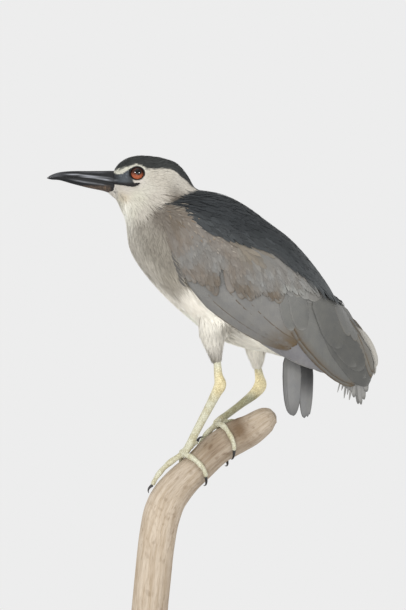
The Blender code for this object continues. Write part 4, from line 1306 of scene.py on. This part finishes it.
def wing_feathers(group, side, seed, cells, inner=False):
    """A group of vanes on a folded wing. Each lies tilted, with its lower margin over the next
    feather out, and every vane rises a little from its root to its tip."""
    rng = np.random.default_rng(seed)
    part = np.linspace(0, 1, group.count) if group.count > 1 else np.array([0.5])
    root, tip = (spline(line, part * (len(line) - 1)) for line in (group.roots, group.tips))
    half = group.half[0] + (group.half[1] - group.half[0]) * part
    stray = 0.04 * np.linalg.norm(tip - root, axis=1, keepdims=True).clip(0, 40)
    root, tip = (p + rng.normal(0, 0.5, p.shape) * stray for p in (root, tip))
    half = half * rng.uniform(0.93, 1.07, len(half))
    flat, reach, offset = vane_outline(root, tip, half, group.bow, group.blunt, rng)
    slope = 0.035 * half[:, None, None] * VANE_ACROSS
    lift = group.lift + slope + 0.45 * (VANE_RUN[:, None] - 0.6) + 0.3 * BULGE
    lift = lift + 0.3 * QUILL * (1 - VANE_RUN[:, None])
    lift = lift + rng.normal(0, 0.12, (len(half), 1, 1))
    if not inner and reach.min() > 20:
        lift = lift - 2.4 * smooth(0.32, 0.04, VANE_RUN)[:, None]
        lift = lift - 2.6 * smooth(-1, 6, flat[..., 1] - np.interp(flat[..., 0], *MANTLE_EDGE.T))
    wall = bpy.context.scene.heron_sizes.plume_wall / MM
    if group is FAR_EDGE:
        deep = 0.1 - 0.3 * np.arange(len(half))[:, None, None] + 0 * lift
        upper = np.concatenate([deep[..., None], flat], axis=-1)
        lower = upper - (wall, 0, 0)
    else:
        upper, normal = on_wing(flat, side, lift, inner)
        lower = upper + normal * (wall if inner else -wall)
    if group.tint == "coverts":
        middle = np.insert(tip * 0.6 + root * 0.4, 0, 0, axis=1)
        shade = wing_markings(middle)[:, None, None]
    else:
        shade = tone(group.tint)
    # Painted light: the right wing's outer feathers are lightened towards the far wing's paler colour.
    if side == "right" and not inner:
        shade = shade * 0.85 + tone("far_wing") * 0.15
    own = 1 + rng.normal(0, 0.035, (len(half), 1, 1, 1))
    # Painted shade: the lower secondaries, which curve under, are darker than the upper ones.
    if group.name == "secondaries":
        own = own * (0.89 + 0.15 * part[:, None, None, None])
    # hidden is painted shadow: each vane is darkened along the side that lies under its neighbour.
    hidden = 1 - 0.14 * smooth(-0.35, -1, VANE_ACROSS)[None, None, :, None]
    young = 1 + group.fade * (1 - VANE_RUN[None, :, None, None])
    # Painted light: vanes in the notch between the covert groups are lightened to lift the tufts'
    # shadow over them.
    painted_light_notch = ((flat[..., 0] - 5) / 8) ** 2 + ((flat[..., 1] - 440) / 14) ** 2
    tint = np.clip(shade * own * hidden * young * (1 + 0.2 * np.exp(-painted_light_notch)[..., None]), 0, 0.95)
    edge = tone(group.edge) * (1 + rng.normal(0, 0.08, (len(half), 1)))
    if (side == "left") != inner:
        upper, lower, offset, tint = (v[:, :, ::-1] for v in (upper, lower, offset, tint))
    return vane_mesh(f"wing_{side}_{group.name}", upper, lower, tint, edge, reach, offset,
                     group.margin, cells, seed, group.worn)


def ridge_feathers(cells):
    """Vanes laid crosswise down the ridge where the folded wings meet, which sag to both sides and
    follow the right wing's slip."""
    rng = np.random.default_rng(77)
    start, stop, half, high = RIDGE.T
    row = start[:, None] + (stop - start)[:, None] * VANE_RUN
    ridge = spline(WING, row)[..., :2]
    way = unit(np.gradient(ridge, axis=1))
    out = np.stack([-way[..., 1], way[..., 0]], axis=-1)[:, :, None]
    offset = half[:, None, None] * vane_girth(0.4, 0.3, 4)[:, None] * VANE_ACROSS
    offset = offset * (1 + rng.normal(0, 0.02, offset.shape))
    lift = high[:, None, None] + 0.5 * (VANE_RUN[:, None] - 0.5) - 0.018 * offset**2
    lift = lift - 4.5 * smooth(0.35, 0, VANE_RUN)[:, None]
    slip = smooth(5, 7.5, row) * smooth(12, 9.5, row)
    slip = slip[..., None] * smooth(1, -7, offset)
    flat = ridge[:, :, None] + out * lift[..., None] + slip[..., None] * FAR_SLIP
    offset = offset[:, :, ::-1]
    upper = np.concatenate([offset[..., None], flat[:, :, ::-1]], axis=-1)
    down = np.concatenate([0 * offset[..., None], out + 0 * flat], axis=-1)
    lower = upper - down * bpy.context.scene.heron_sizes.plume_wall / MM
    tint = tone("tertial") * (1 + rng.normal(0, 0.04, (len(half), 1, 1, 1)))
    reach = np.linalg.norm(np.diff(ridge, axis=1), axis=2).sum(1)
    return vane_mesh("ridge", upper, lower, tint, tone("back_edge"), reach, offset, 0.12, cells, 78)


# ---------------------------------------------------------------- operators


class HERON_OT_skin(bpy.types.Operator):
    """Skin of the head, neck, trunk, thighs, wing arms and bare legs, as one piece"""

    bl_idname = "heron.skin"
    bl_label = "Skin"

    def execute(self, context):
        sizes = context.scene.heron_sizes
        points, normals, faces = remeshed("skin", flesh_parts(), sizes.skin_voxel, 6)
        bare = smooth(-0.8, 0.6, on_lores(points))
        ring = eye_gap(points)[0]
        depth = lie(points)[3] * 0.85 * (1 - bare)
        depth = depth * smooth(8.5, 11.5, ring) + 5.5 * smooth(8.4, 7.4, ring)
        tint = blend(markings(points), lore_colours(points), bare)
        tint = blend(tint, tone("rim"), smooth(9.6, 8.2, ring))
        plates = [wing_plate(side, -1.7, 0.4, 2) for side in SIDES]
        rods = [rod(*course, 28) for side in SIDES for course in leg_courses(side)]
        scaled, _, leg_faces = remeshed("legs", rods, sizes.leg_voxel, 2)
        folds = [make(side) for make in (self.lid, self.gape) for side in SIDES.values()]
        parts = [(points - normals * depth[:, None], NO_QUADS, faces), *plates,
                 (scaled, NO_QUADS, leg_faces), *folds]
        shades = [tint, *(tone("flight") + 0 * part[0] for part in plates),
                  self.leg_colours(scaled), *(tone("rim") + 0 * part[0] for part in folds)]
        mesh = make_mesh("skin", *join_parts(parts), np.concatenate(shades))
        which = np.zeros(len(mesh.vertices), np.int32)
        first = sum(len(part[0]) for part in parts[:3])
        which[first:first + len(scaled)] = 1
        which[:len(bare)][bare > 0.5] = 2
        lead = each(mesh.loops, "vertex_index", 1, np.int32)[
            each(mesh.polygons, "loop_start", 1, np.int32)]
        add_piece("skin", mesh, ["skin", "scaly_skin", "lore_skin"], BODY_NODES)
        mesh.polygons.foreach_set("material_index", which[lead].ravel())
        mesh.update()
        return {"FINISHED"}

    @staticmethod
    def leg_colours(points):
        """Cream legs that are yellower at the ankles, with painted shade that darkens the far leg's
        rear low down.
        """
        near, far = (np.linalg.norm(points - place, axis=1)
                     for place in ((32, -4, 340), (-53, 39, 337)))
        part = smooth(24, 6, np.minimum(near, far))[:, None]
        leg, ankle = tone("leg", "leg_yellow")
        shade = leg * (1 - part) + ankle * part * np.where(near < far, 0.86, 1.14)[:, None]
        # Painted shade: the far leg's rear, low down, is darkened and browned.
        rear = smooth(-4, -14, points[:, 0]) * smooth(328, 318, points[:, 2])
        shade = shade * (1 - 0.36 * rear[:, None] * (1.0, 1.0, 1.25))
        return shade * (1 + 0.06 * ripple(points, 9.0, 63))[:, None]

    @staticmethod
    def gape(side):
        """The dark fold of the gape, from the bill's base to below the eye."""
        line = spline(GAPE, np.linspace(0, len(GAPE) - 1, 40))
        out = 30.0 * side * np.interp(line[:, 0], (-129, -118, -96), (0.3, 0.55, 0.9))
        course = on_form(np.insert(line, 0, out, axis=1), "body")[0]
        radius = np.interp(np.linspace(0, 1, 40), (0, 0.3, 0.62, 0.85, 1), (0.8, 1.2, 2.0, 1.5, 0.3))
        return rod(course, radius, 10)

    @staticmethod
    def lid(side):
        """The eyelids' rim: an upright oval ring round the eye's axis, heavier above, where its dark
        band is partly the lid and partly painted shade under the brow.
        """
        turn, ring = round_angles(64), round_angles(12)[None, :, None]
        out = np.stack([0 * turn, np.cos(turn), np.sin(turn)], axis=1)
        centre = EYE * (side, 1, 1) + (4.6 * side, 0, 0) + out * (0, 7.9, 7.1)
        thick = (0.65 + 0.3 * np.sin(turn))[:, None, None]
        across = out[:, None] * np.cos(ring) * thick
        lift = np.array([1.0, 0, 0]) * np.sin(ring) * thick * 1.5
        points = (centre[:, None] + across + lift).reshape(-1, 3)
        quads = band_faces(65, 12) % len(points)
        turned = -1 if np.linalg.det(points[quads[:, :3]] - points.mean(0)).sum() < 0 else 1
        return points, quads[:, ::turned], NO_TRIANGLES


class HERON_OT_eyes(bpy.types.Operator):
    """Two glass eyes with an orange red iris and a black pupil"""

    bl_idname = "heron.eyes"
    bl_label = "Eyes"

    def execute(self, context):
        fall, turn = np.linspace(0, math.pi, 97)[:, None], round_angles(96)[None, :]
        axis = unit(np.array([1.0, 0.17, 0.22]))
        across = unit(np.cross((0, 0, 1.0), axis))
        out = np.stack([np.cos(fall) + 0 * turn, np.sin(fall) * np.cos(turn),
                        np.sin(fall) * np.sin(turn)], axis=-1)
        ball = out @ np.stack([axis, across, np.cross(axis, across)]) * EYE_RADIUS + EYE
        reach = np.sin(fall) * EYE_RADIUS
        streak = np.sin(turn * 37 + 3 * np.sin(turn * 5)) * 0.5 + np.sin(turn * 83) * 0.3
        # Painted shadow of the lids and brow: low darkens the iris towards its top.
        low = 0.12 + 1.2 * smooth(2.0, -5.0, ball[..., 2] - EYE[2])
        shade = tone("iris") * (low * (1 + 0.12 * streak))[..., None]
        shade = shade * (0.7 + 0.4 * smooth(3.0, 5.0, reach))[..., None]
        black = np.maximum(smooth(3.75, 3.4, reach), smooth(7.2, 7.8, reach))[..., None]
        shade = shade * (1 - black) + BLACK * black
        shade = np.where(fall[..., None] > 1.5, BLACK, shade)[1:-1].reshape(-1, 3)
        shade = np.concatenate([shade, [BLACK, BLACK]])
        for name, side in SIDES.items():
            place = ball * (side, 1, 1)
            points, quads, caps = tube(place[1:-1])
            points[-2:] = place[[0, -1], 0]
            mesh = make_mesh(f"glass_eye_{name}", points, quads, caps, shade)
            add_piece(f"glass_eye_{name}", mesh, ["eye_glass"], (f"eye_{name}",))
        return {"FINISHED"}


class HERON_OT_bill(bpy.types.Operator):
    """The two halves of the bill, with the nostril grooves and the gape"""

    bl_idname = "heron.bill"
    bl_label = "Bill"

    def execute(self, context):
        rows = spline(BILL, (len(BILL) - 1) * np.linspace(0, 1, 150))
        y, culmen, gape, under, half = rows.T[..., None]
        angle = np.linspace(0, math.pi, 33)[None, :]
        for name, upper in (("bill_upper", True), ("bill_lower", False)):
            lip = gape + (0.12 if upper else -0.12)
            rise = np.sin(angle) ** (0.85 if upper else 1.0)
            z = lip + ((culmen if upper else under) - lip) * rise
            groove = 0 * z
            if upper:
                groove = hump(rise, 0.62, 0.10) * smooth(-182, -165, y) * 0.35
                slit = hump(rise, 0.60, 0.09) * smooth(-152, -148, y)
                groove = groove + slit * smooth(-134, -139, y) * 0.9
            x = half * np.cos(angle) - np.sign(np.cos(angle)) * groove
            floor_x = half * (1 - 2 * np.linspace(1, 0, 14)[None, -2:0:-1])
            outer = np.stack([x, y + 0 * x, z], axis=2)
            inner = np.stack([floor_x, y + 0 * floor_x, lip + 0 * floor_x], axis=2)
            points, quads, caps = tube(np.concatenate([outer, inner], axis=1))
            shade = horn_colours(points, np.full(len(points), upper))
            mesh = make_mesh(f"horn_{name}", points, quads, caps, shade)
            mesh.set_sharp_from_angle(angle=math.radians(50))
            add_piece(f"horn_{name}", mesh, ["bill_horn"], (name,))
        return {"FINISHED"}


class HERON_OT_head_coat(bpy.types.Operator):
    """Small feathers of the cap and of the face"""

    bl_idname = "heron.head_coat"
    bl_label = "Head coat"

    def execute(self, context):
        spacing = context.scene.heron_sizes.head_spacing

        def head(points):
            """Behind the bill and above the chin's floor, off the lores, the eyes and the gape."""
            _, y, z = points.T
            near = (edge_height(points, HEAD_FLOOR) > 0) & (y < -36)
            chin = y > np.interp(z, (548, 553, 556, 560.5, 562), (-134, -133, -127, -122, -119))
            clear = (on_lores(points) < -0.2) & (eye_gap(points)[0] > 8.0) & (z > 545)
            off = (np.abs(edge_height(points, GAPE)) > 1.0) | (y > -96)
            return near & clear & off & (chin | (z > 570)) & ((y > -125.2) | (z < 555.5))

        coat("coat_cap", lambda points: head(points) & (in_cap(points) > -1.0), "body",
             spacing * 1.1, 0, lambda root, tip: in_cap(tip) > -0.8, "tuft", "dark_feather",
             tip_lift=0.25, spread=0.10)
        coat("coat_face", lambda points: head(points) & (in_cap(points) < 2.0), "body", spacing,
             10, lambda root, tip: in_cap(tip) < 0.4, tip_lift=0.2, spread=0.03)
        return {"FINISHED"}


class HERON_OT_neck_coat(bpy.types.Operator):
    """Soft feathers of the throat and neck"""

    bl_idname = "heron.neck_coat"
    bl_label = "Neck coat"

    def execute(self, context):
        def neck(points):
            """Between the breast and the head, off the mantle."""
            _, y, z = points.T
            above = z > np.interp(y, (-112, -85, -60, -30), (498, 512, 528, 545))
            return (edge_height(points, NECK_TOP) < 0) & above & (in_mantle(points) < 3)

        coat("coat_neck", neck, "body", context.scene.heron_sizes.neck_spacing, 20,
             lambda root, tip: in_mantle(tip) < 0.4, spread=0.03, tip_lift=0.3)
        return {"FINISHED"}


class HERON_OT_body_coat(bpy.types.Operator):
    """Soft feathers of the breast and the belly"""

    bl_idname = "heron.body_coat"
    bl_label = "Breast and belly coat"

    def execute(self, context):
        sizes = context.scene.heron_sizes

        def under_wing(points):
            """Inside the wing plate's outline, and well out from the middle plane."""
            at, share = wing_rows(points[:, 1:])
            row = spline(WING, np.clip(at - WRIST, 0, WING_ROWS))
            inside = (share > row[:, 5] + 0.03) & (share < row[:, 6] - 0.05) & (at > 3.3)
            return inside & (np.abs(points[:, 0]) > 15) & (points[:, 1] > -60)

        def breast(points):
            """Below the neck, ahead of a line down the side, and off the mantle."""
            _, y, z = points.T
            low = z < np.interp(y, (-112, -85, -60, -30), (506, 520, 536, 548))
            front = y < np.interp(z, (420, 440, 460, 500, 530), (-24, -42, -53, -55, -58))
            return low & front & (in_mantle(points) < 0)

        def belly(points):
            """Below the side's lower line, off the wings, the mantle and the thighs."""
            _, y, z = points.T
            low = z < np.interp(y, (-40, 40, 100, 130), (440, 420, 425, 430))
            return (low & (y > -30) & ~under_wing(points) & (in_mantle(points) < 0)
                    & (z > 366) & (thigh_pull(points)[0] < 0.5))

        coat("coat_breast", breast, "winged", sizes.body_spacing, 30,
             lambda root, tip: in_mantle(tip) < 0.4, spread=0.02, tip_lift=0.3, root=-0.03,
             crest=0.05, swing=4.0)
        coat("coat_belly", belly, "body", sizes.body_spacing, 40, spread=0.025, tip_lift=0.4,
             root=-0.04)
        coat("coat_thighs", lambda points: thigh_pull(points)[0] > 0.4, "body",
             sizes.thigh_spacing, 45, spread=0.06, tip_lift=1.3, swing=14.0)
        return {"FINISHED"}


class HERON_OT_mantle_coat(bpy.types.Operator):
    """Long dark feathers of the back and the scapulars"""

    bl_idname = "heron.mantle_coat"
    bl_label = "Mantle coat"

    def execute(self, context):
        def over_wing(points):
            """Height of the roots, more to the rear and at the sides' lower edge."""
            near = smooth(45, 6, edge_height(points, MANTLE_EDGE))
            rear = smooth(88, 108, points[:, 1]) * (0.9 + 0.6 * near)
            return 0.9 + rear + 1.5 * near * smooth(12, 26, np.abs(points[:, 0]))

        coat("coat_mantle", lambda points: in_mantle(points) > -0.5, "winged",
             context.scene.heron_sizes.mantle_spacing, 50,
             lambda root, tip: in_mantle(tip) > -1.5 + 1.5 * smooth(96, 116, tip[:, 1]),
             "lance", "mantle_feather", spread=0.13, tip_lift=0.3, swing=5.0, base=over_wing,
             crest=0.05, sink=0.5)
        return {"FINISHED"}


class HERON_OT_covert_coat(bpy.types.Operator):
    """Soft loose barbs over the wings' lesser and median coverts"""

    bl_idname = "heron.covert_coat"
    bl_label = "Covert coat"

    def execute(self, context):
        def coverts(points):
            """Above the coverts' edge, behind the wrist and outside the mantle."""
            x, y, z = points.T
            inside = edge_height(points, COVERT_EDGE) > np.interp(y, (-50, -20), (1, 5))
            front = y > np.interp(z, (450, 480, 505, 535), (-50, -58, -66, -73))
            return (inside & front & (np.abs(x) > 22) & (y < 118)
                    & (edge_height(points, MANTLE_EDGE) < 3))

        def over_vanes(points):
            """Height of the roots, most over the middle of the wing."""
            return 0.4 + 0.9 * smooth(-68, -40, points[:, 1]) * smooth(112, 60, points[:, 1])

        def trimmed(root, tip):
            """Tips above the coverts' edge, which is notched towards the rear."""
            notch = 5 * ripple(root, 4.0, 55) * smooth(56, 68, root[:, 1])
            return edge_height(tip, COVERT_EDGE) > notch

        def shoulder(points):
            """A row just under the mantle's edge, near the wrist."""
            under = edge_height(points, MANTLE_EDGE)
            row = smooth(-15, -9, under) * smooth(5, 0, under)
            return row * smooth(-72, -60, points[:, 1]) * smooth(6, -14, points[:, 1])

        def stained(points):
            """The coverts' colour with clouds of pale and ochre over it."""
            pale, ochre = tone("covert_pale", "ochre")
            stain = blend(pale, ochre, smooth(-0.2, 0.5, ripple(points, 9.0, 97)))
            return 0.62 * wing_markings(points) + 0.38 * stain

        coat("coat_coverts", coverts, "winged", context.scene.heron_sizes.covert_spacing, 60,
             trimmed, "tuft", colours=wing_markings, spread=0.035, tip_lift=0.35, base=over_vanes,
             sink=0.25, crest=0.05)
        coat("coat_tufts", shoulder, "winged", TUFT_SPACING, 70, colours=stained, scale=0.8,
             spread=0.09, tip_lift=0.7, base=1.3, swing=16.0, sink=0.8, crest=0.05)
        return {"FINISHED"}


class HERON_OT_wings(bpy.types.Operator):
    """The folded wings' quills and coverts, on their outer and inner sides"""

    bl_idname = "heron.wings"
    bl_label = "Wings"

    def execute(self, context):
        groups = (*WING_GROUPS, *INNER_GROUPS, FAR_EDGE)
        total = sum(group.count for group in groups) + len(RIDGE)
        for side in SIDES:
            meshes, used = [], 0
            for number, group in enumerate(groups[:None if side == "right" else -1]):
                inner = group in INNER_GROUPS or group is FAR_EDGE
                seed = 100 + number * 2 + (side == "right")
                meshes.append(wing_feathers(group, side, seed, (used, total), inner))
                used += group.count
            if side == "left":
                meshes.append(ridge_feathers((used, total)))
            name = f"wing_feathers_{side}"
            add_piece(name, join_meshes(name, meshes), ["wing_feather"], (f"wing_{side}",))
        return {"FINISHED"}


class HERON_OT_tail(bpy.types.Operator):
    """Twelve tail feathers folded into a narrow channel, in two groups a side"""

    bl_idname = "heron.tail"
    bl_label = "Tail"

    def execute(self, context):
        rng = np.random.default_rng(31)
        turn, over = np.array([(0.16, 0.30, 0.44, 0.77, 0.80, 0.83),
                               (-0.4, 0.0, 0.4, 1.1, 0.8, 0.5)])
        turn, over = np.append(-turn[::-1], turn), np.append(over[::-1], over)
        count, outer = len(turn), np.abs(turn) > 0.5
        end = 299.8 + 30.0 * np.maximum(0.44 - np.abs(turn), 0) ** 1.5 + rng.uniform(0, 0.6, count)
        end = end + 2.5 * outer + 5.0 * turn**8
        root, tip = (np.stack([turn * TAIL_FAN, height + 0 * turn], axis=1)
                     for height in (TAIL_TOP, end))
        half = np.where(outer, 10.2, 12.5) * rng.uniform(0.98, 1.02, count)
        flat, reach, offset = vane_outline(root, tip, half, 0.0, 5, rng, 0.012)
        down = (TAIL_TOP - flat[..., 1]) / 83.6
        bend = flat[..., 0] / TAIL_FAN * math.radians(100)
        wide = 0.72 + 0.28 * np.sin(np.clip(2.2 * down, 0, 1) * math.pi / 2)
        wide = wide - 0.14 * np.clip(down, 0, 1) ** 5
        tilt = -0.35 * np.sign(turn)[:, None, None] * VANE_ACROSS
        lift = over[:, None, None] - 1.2 + tilt + 0.3 * BULGE
        lift = lift + 0.35 * QUILL * (1 - VANE_RUN[:, None])
        upper, lower = (np.stack([(19.0 * wide + out) * np.sin(bend),
                                  70.2 + (30.5 * wide + out) * np.cos(bend), flat[..., 1]], axis=-1)
                        for out in (lift, lift - context.scene.heron_sizes.plume_wall / MM))
        # The outer feathers are darker at the top and towards the tips. gloom is painted shadow of the
        # wings over the upper part of the inner feathers in the channel.
        shade = 1 - 0.35 * smooth(352, 366, flat[..., 1])[..., None]
        shade = shade * (1 - 0.27 * smooth(326, 304, flat[..., 1]))[..., None]
        gloom = 1 - 0.72 * smooth(318, 346, flat[..., 1])[..., None]
        own = 1 + rng.normal(0, 0.05, (count, 1, 1, 1))
        tint = tone("tail") * own * np.where(outer[:, None, None, None], shade, gloom)
        # The darker Edge colour paints shadow lines along the feathers' margins and tips.
        mesh = vane_mesh("tail_feathers", upper, lower, tint, tone("tail") * 0.6, reach, offset,
                         0.06, (0, count), 32)
        add_piece("tail_feathers", mesh, ["wing_feather"], ("tail",))
        return {"FINISHED"}


class HERON_OT_claws(bpy.types.Operator):
    """Curved black claws on all eight toes"""

    bl_idname = "heron.claws"
    bl_label = "Claws"

    def execute(self, context):
        radius = 0.28 + 1.5 * (1 - np.linspace(0, 1, 22) ** 1.1)
        for side in SIDES:
            for toe, rows in TOES[side].items():
                course, _ = toe_course(*rows, np.linspace(1 - CLAW_SHARE, 1, 22))
                name = f"{side}_{toe}"
                mesh = make_mesh(f"horn_{name}", *rod(course, radius, 18))
                add_piece(f"horn_{name}", mesh, ["claw_horn"], (f"claw_{name}",))
        return {"FINISHED"}


class HERON_OT_driftwood(bpy.types.Operator):
    """The worn length of driftwood that the heron stands on"""

    bl_idname = "heron.driftwood"
    bl_label = "Driftwood"

    def execute(self, context):
        rings, around = 300, 144
        at, angle = np.broadcast_arrays(np.linspace(0, len(PERCH) - 1, rings)[:, None],
                                        round_angles(around)[None, :])
        axis, ridge, radius = perch_frame(at)
        level = smooth(12.2, 13.0, at)[..., None]
        ridge = unit(ridge * (1 - level) + np.array([-1.0, 0.0]) * level)
        turn = np.stack([np.cos(angle) * 3, np.sin(angle) * 3, at * 1.1], axis=-1)
        grains = ripple(turn * (1, 1, 0.18), 1.1, 3) * 0.28 + ripple(turn, 2.6, 4) * 0.35
        knot = np.exp(-((at - 1.6) / 0.28) ** 2 - ((angle - 1.15) / 0.22) ** 2)
        reach = radius - 0.45 + grains - 1.3 * knot
        yz = axis + (reach * np.cos(angle))[..., None] * ridge
        shell = np.concatenate([(reach * np.sin(angle))[..., None], yz], axis=2)
        end = shell[0].mean(0) + (0.0, 3.0, 1.5)
        nose = [shell[0] + (end - shell[0]) * share for share in (0.75, 0.45, 0.2)]
        points, quads, caps = tube(np.concatenate([nose, shell]))
        place = np.concatenate([np.repeat([-0.3, -0.2, -0.1], around), at.ravel(), [0.0, 13.0]])
        spin = np.append(np.tile(angle[0], rings + 3), [0.0, 0.0])

        def clouds(size, stretch, scale, seed):
            """Noise that closes round the driftwood."""
            spot = np.stack([np.cos(spin) * size, np.sin(spin) * size, place * stretch], 1)
            return ripple(spot, scale, seed)

        stain = hump(place, 2.75, 0.75) * smooth(-0.9, 0.9, np.cos(spin - 0.6))
        stain = np.maximum(stain, 0.55 * hump(place, 4.1, 0.8)
                           * smooth(-0.5, 0.9, np.cos(spin - 0.9)))
        pits = smooth(0.45, 0.75, clouds(1, 0.6, 0.5, 9))
        stain = np.clip(stain * 0.78 + 0.2 * clouds(2, 0.5, 2.4, 8) + 0.25 * pits, 0, 0.85)
        shade = blend(tone("wood"), tone("wood_dark"), stain)
        shade = shade * (1 + 0.14 * smooth(5.5, 8.5, place))[:, None]
        fold = np.stack([np.abs(spin / math.pi - 1), place * 0.45], axis=1)
        mesh = make_mesh("driftwood", points, quads, caps, shade, {"Grain": fold})
        add_piece("driftwood", mesh, ["driftwood"], ("perch",))
        return {"FINISHED"}


class HERON_OT_stand(bpy.types.Operator):
    """Finishes of the base board and its rod, which are the frame's own solids"""

    bl_idname = "heron.stand"
    bl_label = "Stand"

    def execute(self, context):
        for name, key in (("stand_base", "stand_wood"), ("stand_rod", "stand_steel")):
            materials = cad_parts[name].data.materials
            materials.clear()
            materials.append(finish(key))
        return {"FINISHED"}


class HERON_OT_stage(bpy.types.Operator):
    """Floor, soft lights, backdrop and camera"""

    bl_idname = "heron.stage"
    bl_label = "Stage"

    def execute(self, context):
        scene, sizes = context.scene, context.scene.heron_sizes
        self.floor(sizes.floor_radius)
        world = scene.world = bpy.data.worlds.new("studio")
        world.use_nodes = True
        feed(world.node_tree, world.node_tree.nodes["Background"],
             {"Color": (*tone("backdrop"), 1.0), "Strength": 1.0})
        eyes = bpy.data.collections.new("eyes")
        for side in SIDES:
            eyes.objects.link(bpy.data.objects[f"glass_eye_{side}"])
        for name, place, size, power in LAMPS:
            lamp = bpy.data.lights.new(name, "AREA")
            lamp.size = size
            lamp.energy = power
            obj = show(name, lamp)
            obj.location = place
            aim = np.array([0.0, -0.02, 0.42]) - np.array(place)
            flat = math.hypot(aim[0], aim[1])
            obj.rotation_euler = (math.pi / 2 + math.atan2(aim[2], flat), 0,
                                  math.atan2(-aim[0], aim[1]))
            if name.startswith("catch"):
                obj.visible_diffuse = False
                obj.light_linking.receiver_collection = eyes
        lens = bpy.data.cameras.new("camera")
        lens.lens = lens.sensor_width * sizes.camera_distance / sizes.view_height
        lens.clip_end = 50
        camera = scene.camera = show("camera", lens)
        camera.location = (sizes.camera_distance, -0.0246, 0.4266)
        camera.rotation_euler = (math.pi / 2, 0, math.pi / 2)
        scene.view_settings.view_transform = "Standard"
        return {"FINISHED"}

    @staticmethod
    def floor(radius):
        """A round floor that fades out towards its rim."""
        around = np.arange(96)
        angle, reach = round_angles(96), np.linspace(0.02, 1, 24)[:, None] * radius / MM
        rings = np.stack([reach * np.cos(angle), reach * np.sin(angle), 0 * reach + 0 * angle - 0.4],
                         axis=2)
        points = np.concatenate([rings.reshape(-1, 3), [[0, 0, -0.4]]])
        fan = np.stack([np.full(96, len(points) - 1), around, (around + 1) % 96], 1)
        mesh = make_mesh("floor", points, band_faces(24, 96), fan)
        material = finish("floor")
        tree = material.node_tree
        where = node(tree, "ShaderNodeTexCoord")["Object"]
        gone = node(tree, "ShaderNodeVectorMath", {0: where}, operation="LENGTH")["Value"]
        fade = node(tree, "ShaderNodeMapRange", {"Value": gone, "From Min": radius * 0.3,
                                                 "From Max": radius},
                    interpolation_type="SMOOTHSTEP")["Result"]
        mix = node(tree, "ShaderNodeMixShader", {
            "Fac": fade, 1: tree.nodes["Principled BSDF"].outputs[0],
            2: node(tree, "ShaderNodeBsdfTransparent")[0]})
        feed(tree, tree.nodes["Material Output"], {"Surface": mix[0]})
        mesh.materials.append(material)
        show("floor", mesh)


OPERATORS = (
    HERON_OT_skin, HERON_OT_eyes, HERON_OT_bill, HERON_OT_head_coat, HERON_OT_neck_coat,
    HERON_OT_body_coat, HERON_OT_mantle_coat, HERON_OT_covert_coat, HERON_OT_wings,
    HERON_OT_tail, HERON_OT_claws, HERON_OT_driftwood, HERON_OT_stand, HERON_OT_stage,
)


class HERON_PT_panel(bpy.types.Panel):
    """Buttons for each piece of the mount, with its sizes and colours"""

    bl_idname = "HERON_PT_panel"
    bl_label = "Night Heron"
    bl_space_type = "VIEW_3D"
    bl_region_type = "UI"
    bl_category = "Heron"

    def draw(self, context):
        for operator in OPERATORS:
            self.layout.operator(operator.bl_idname)
        for group in (context.scene.heron_sizes, context.scene.heron_colours):
            box = self.layout.box()
            for key in group.__annotations__:
                box.prop(group, key)


CLASSES = (HeronColours, HeronSizes, *OPERATORS, HERON_PT_panel)


def register():
    for cls in CLASSES:
        bpy.utils.register_class(cls)
    bpy.types.Scene.heron_colours = PointerProperty(type=HeronColours)
    bpy.types.Scene.heron_sizes = PointerProperty(type=HeronSizes)


def unregister():
    del bpy.types.Scene.heron_colours
    del bpy.types.Scene.heron_sizes
    for cls in reversed(CLASSES):
        bpy.utils.unregister_class(cls)


def main():
    """Registers the add-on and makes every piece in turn."""
    register()
    for operator in OPERATORS:
        family, name = operator.bl_idname.split(".")
        getattr(getattr(bpy.ops, family), name)()
    for hidden in FORMS.values():
        drop(hidden)


if __name__ == "__main__":
    main()
